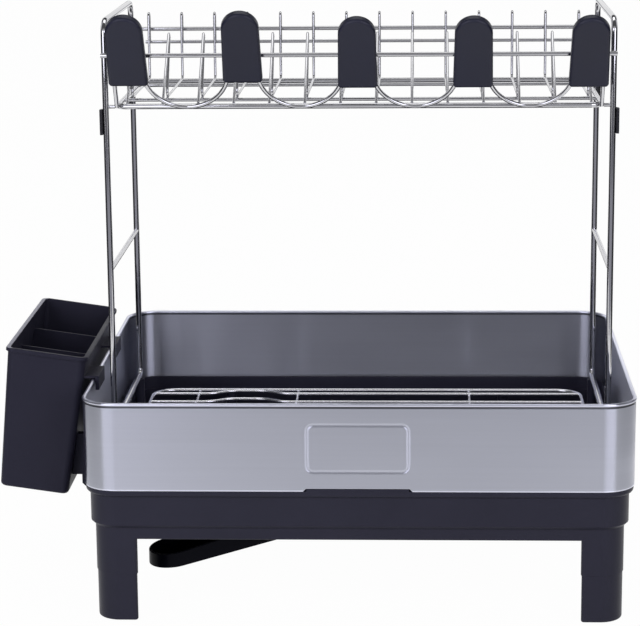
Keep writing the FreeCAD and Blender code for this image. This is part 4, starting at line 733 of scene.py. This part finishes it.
# ---- shelf --------------------------------------------------------------------------------
# A loop of thick wire with two cross wires under fourteen tine wires.  Each tine wire makes a
# leaning front tine, a run across the shelf and an upright rear tine, and ends on a rail.
shelf_wire, shelf_bar, tine_wire, shelf_bend = 4.5, 3.0, 2.2, 8
shelf_middle, shelf_half = box_in_mm("shelf_frame_wire")
shelf_x, shelf_y = shelf_half[0] - shelf_wire / 2, shelf_half[1] - shelf_wire / 2
shelf_z = shelf_middle[2]
wire_piece("shelf_loop", "upper_rack", ["shelf_frame_wire"], shelf_wire,
           [(level_corners(shelf_x, shelf_y, shelf_z), [shelf_bend] * 4, True)],
           bend_steps=8, round_steps=24)
(_, _, cross_z), (cross_reach, cross_half, _) = box_in_mm("shelf_cross_wires")
cross_y = cross_half - shelf_bar / 2
wire_piece("shelf_cross_bars", "upper_rack", ["shelf_cross_wires"], shelf_bar,
           [straight((-cross_reach, y, cross_z), (cross_reach, y, cross_z))
            for y in (-cross_y, cross_y)])
(_, _, rail_z), (rail_reach, _, _) = box_in_mm("tine_back_rail")
wire_piece("tine_rail", "upper_rack", ["tine_back_rail"], shelf_bar,
           [straight((-rail_reach, shelf_y, rail_z), (rail_reach, shelf_y, rail_z))])
_, (stub_out, stub_half, _) = box_in_mm("shelf_corner_stubs")
stub_in, stub_y = shelf_x + shelf_wire / 2 - wire_sink, stub_half - shelf_bar / 2
wire_piece("shelf_stubs", "upper_rack", ["shelf_corner_stubs"], shelf_bar,
           [straight((side * stub_in, y, shelf_z), (side * stub_out, y, shelf_z))
            for side in (-1, 1) for y in (-stub_y, stub_y)])

# The tine wires' line from the rear rail forwards, as (y, z).  A front tine runs up from its
# heel on the shelf to a narrow tip, and down again to its foot on the shelf's front wire.
tine_floor = shelf_z + (shelf_wire + tine_wire) / 2 - wire_sink
tine_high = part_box("shelf_tine_wires")[1][2] * 1000 - tine_wire / 2
tip_back, tip_rise, heel_back, rear_inset, tip_half = 58.5, 48.5, 31.5, 8.5, 2.3
front_foot = Vector((-shelf_y, tine_floor - 2 * wire_sink))
front_tip = Vector((-shelf_y + tip_back, tine_floor + tip_rise))
front_heel = Vector((-shelf_y + heel_back, tine_floor))
rear_foot = shelf_y - rear_inset
rear_back = shelf_y - (shelf_bar + tine_wire) / 2 + wire_sink
to_foot, to_heel = (front_tip - front_foot).normalized(), (front_tip - front_heel).normalized()
mean = (to_foot + to_heel).normalized()
across = Vector((mean.y, -mean.x)) * tip_half
tine_line = [(rear_back, rail_z), (rear_back, tine_high), (rear_foot, tine_high),
             (rear_foot, tine_floor), tuple(front_heel), tuple(front_tip + across),
             tuple(front_tip - across), tuple(front_foot)]
heel_bend, tip_bend, nearly_half = 4.4, 2.2, 0.49
loop_bend = (rear_back - rear_foot) * nearly_half
tine_bends = [0, loop_bend, loop_bend, heel_bend, heel_bend, tip_bend, tip_bend, 0]
tine_count, tine_inset = 14, 8
tine_span = shelf_x - tine_inset
tine_places = [-tine_span + 2 * tine_span * index / (tine_count - 1)
               for index in range(tine_count)]
wire_piece("tines", "upper_rack", ["shelf_tine_wires"], tine_wire,
           [([(x, y, z) for y, z in tine_line], tine_bends, False) for x in tine_places],
           bend_steps=6, round_steps=14)
tine_under = tine_floor - tine_wire / 2
weld_piece("shelf_welds", "upper_rack",
           [(x, y, tine_under + weld_sink) for x in tine_places for y in (-cross_y, cross_y)]
           + [(x, -shelf_y, tine_under) for x in tine_places]
           + [(x, rear_back + tine_wire / 2, rail_z) for x in tine_places],
           radius=1.3, flatness=(1.0, 1.0, 0.8))
tie_weld_share, brace_weld_inset = 0.99, 0.2
brace_weld_y = brace_reach - brace_weld_inset
weld_piece("rack_welds", "upper_rack",
           [(side * post_x, y * tie_weld_share, z) for side in (-1, 1) for y, z in tie_places]
           + [(side * post_x, y, brace_z) for side in (-1, 1)
              for y in (-brace_weld_y, brace_weld_y)],
           radius=2.2, flatness=(1.0, 0.55, 1.0))

# ---- cup posts ----------------------------------------------------------------------------
# One wire bent into five narrow crests and round dips, leaning forward over the front, with a
# soft silicone sleeve pushed over each crest.
cup_count, cup_crest, cup_rise, cup_wire = 5, 11.3, 80.5, 3.5
cup_pitch = 2 * (shelf_x - cup_crest) / (cup_count - 1)
cup_dip = cup_pitch / 2 - cup_crest
cup_y = shelf_y + (shelf_wire + cup_wire) / 2 - wire_sink
cup_tilt = radians(28)
corners, bends = [], []
for index in range(cup_count):
    x = (index - (cup_count - 1) / 2) * cup_pitch
    corners += [(x - cup_crest, 0), (x - cup_crest, cup_rise), (x + cup_crest, cup_rise),
                (x + cup_crest, 0)]
    bends += [0 if index == 0 else cup_dip, cup_crest, cup_crest,
              0 if index == cup_count - 1 else cup_dip]
wire_piece("cup_wire", "upper_rack", ["cup_holder_wire"], cup_wire,
           [([(x, -cup_y - up * sin(cup_tilt), shelf_z + up * cos(cup_tilt))
              for x, up in corners], bends, False)], bend_steps=16, round_steps=20)
silicone = drifting_finish("black_silicone", dark=(0.0075, 0.0080, 0.0190),
                           light=(0.0115, 0.0125, 0.0290), smooth=0.36, rough=0.46,
                           grain_size=0.0005, relief=0.3, specular=0.36)
for index in range(1, cup_count + 1):
    finished_copy(f"silicone_sleeve_{index}", f"cup_sleeve_{index}", "upper_rack",
                  silicone)

# ---- shelf clips --------------------------------------------------------------------------
# Black nylon clips, one on each of the four posts, just under the shelf.  They are small
# mouldings that snap round the post's wire.
clip_black = drifting_finish("clip_nylon", dark=(0.006, 0.006, 0.009),
                             light=(0.010, 0.010, 0.014), smooth=0.34, rough=0.46,
                             grain_size=0.0006, relief=0.2, specular=0.4)
clip_edge = 0.0003
finished_copy("snap_clips", "shelf_clips", "upper_rack", clip_black, clip_edge)

# ---- utensil holder -----------------------------------------------------------------------
# A thin-walled black polypropylene box with three bays, drain holes in its floor, two hooks
# over the band's rim and two spacer ribs behind it.  The very top of its walls is paler: a painted
# highlight.
holder_black = drifting_finish("holder_polypropylene", dark=(0.0160, 0.0155, 0.0280),
                               light=(0.0230, 0.0225, 0.0370), smooth=0.34, rough=0.46,
                               grain_size=0.0009, relief=0.35, specular=0.08)
tree = holder_black.node_tree
holder_skin = next(node for node in tree.nodes if node.bl_idname == "ShaderNodeBsdfPrincipled")
holder_shade = holder_skin.inputs["Base Color"].links[0].from_socket
holder_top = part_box("utensil_holder")[1][2]
rim_start, rim_full = 0.0007, 0.0004
# Painted highlight: the top of the walls is mixed towards pale grey, for the light that the rim
# catches.
place = add_node(tree, "ShaderNodeTexCoord")
levels = add_node(tree, "ShaderNodeSeparateXYZ", {0: place.outputs["Object"]})
painted_rim_highlight = add_node(tree, "ShaderNodeMapRange", {
    "Value": levels.outputs["Z"], "From Min": holder_top - rim_start,
    "From Max": holder_top - rim_full})
rim_highlight_mix = add_node(tree, "ShaderNodeMix", {
    "Factor": painted_rim_highlight.outputs[0], "A": holder_shade, "B": (0.30, 0.30, 0.35, 1)},
    data_type="RGBA")
tree.links.new(rim_highlight_mix.outputs["Result"], holder_skin.inputs["Base Color"])
finished_copy("cutlery_box", "utensil_holder", "utensil_holder", holder_black,
              moulded_edge)
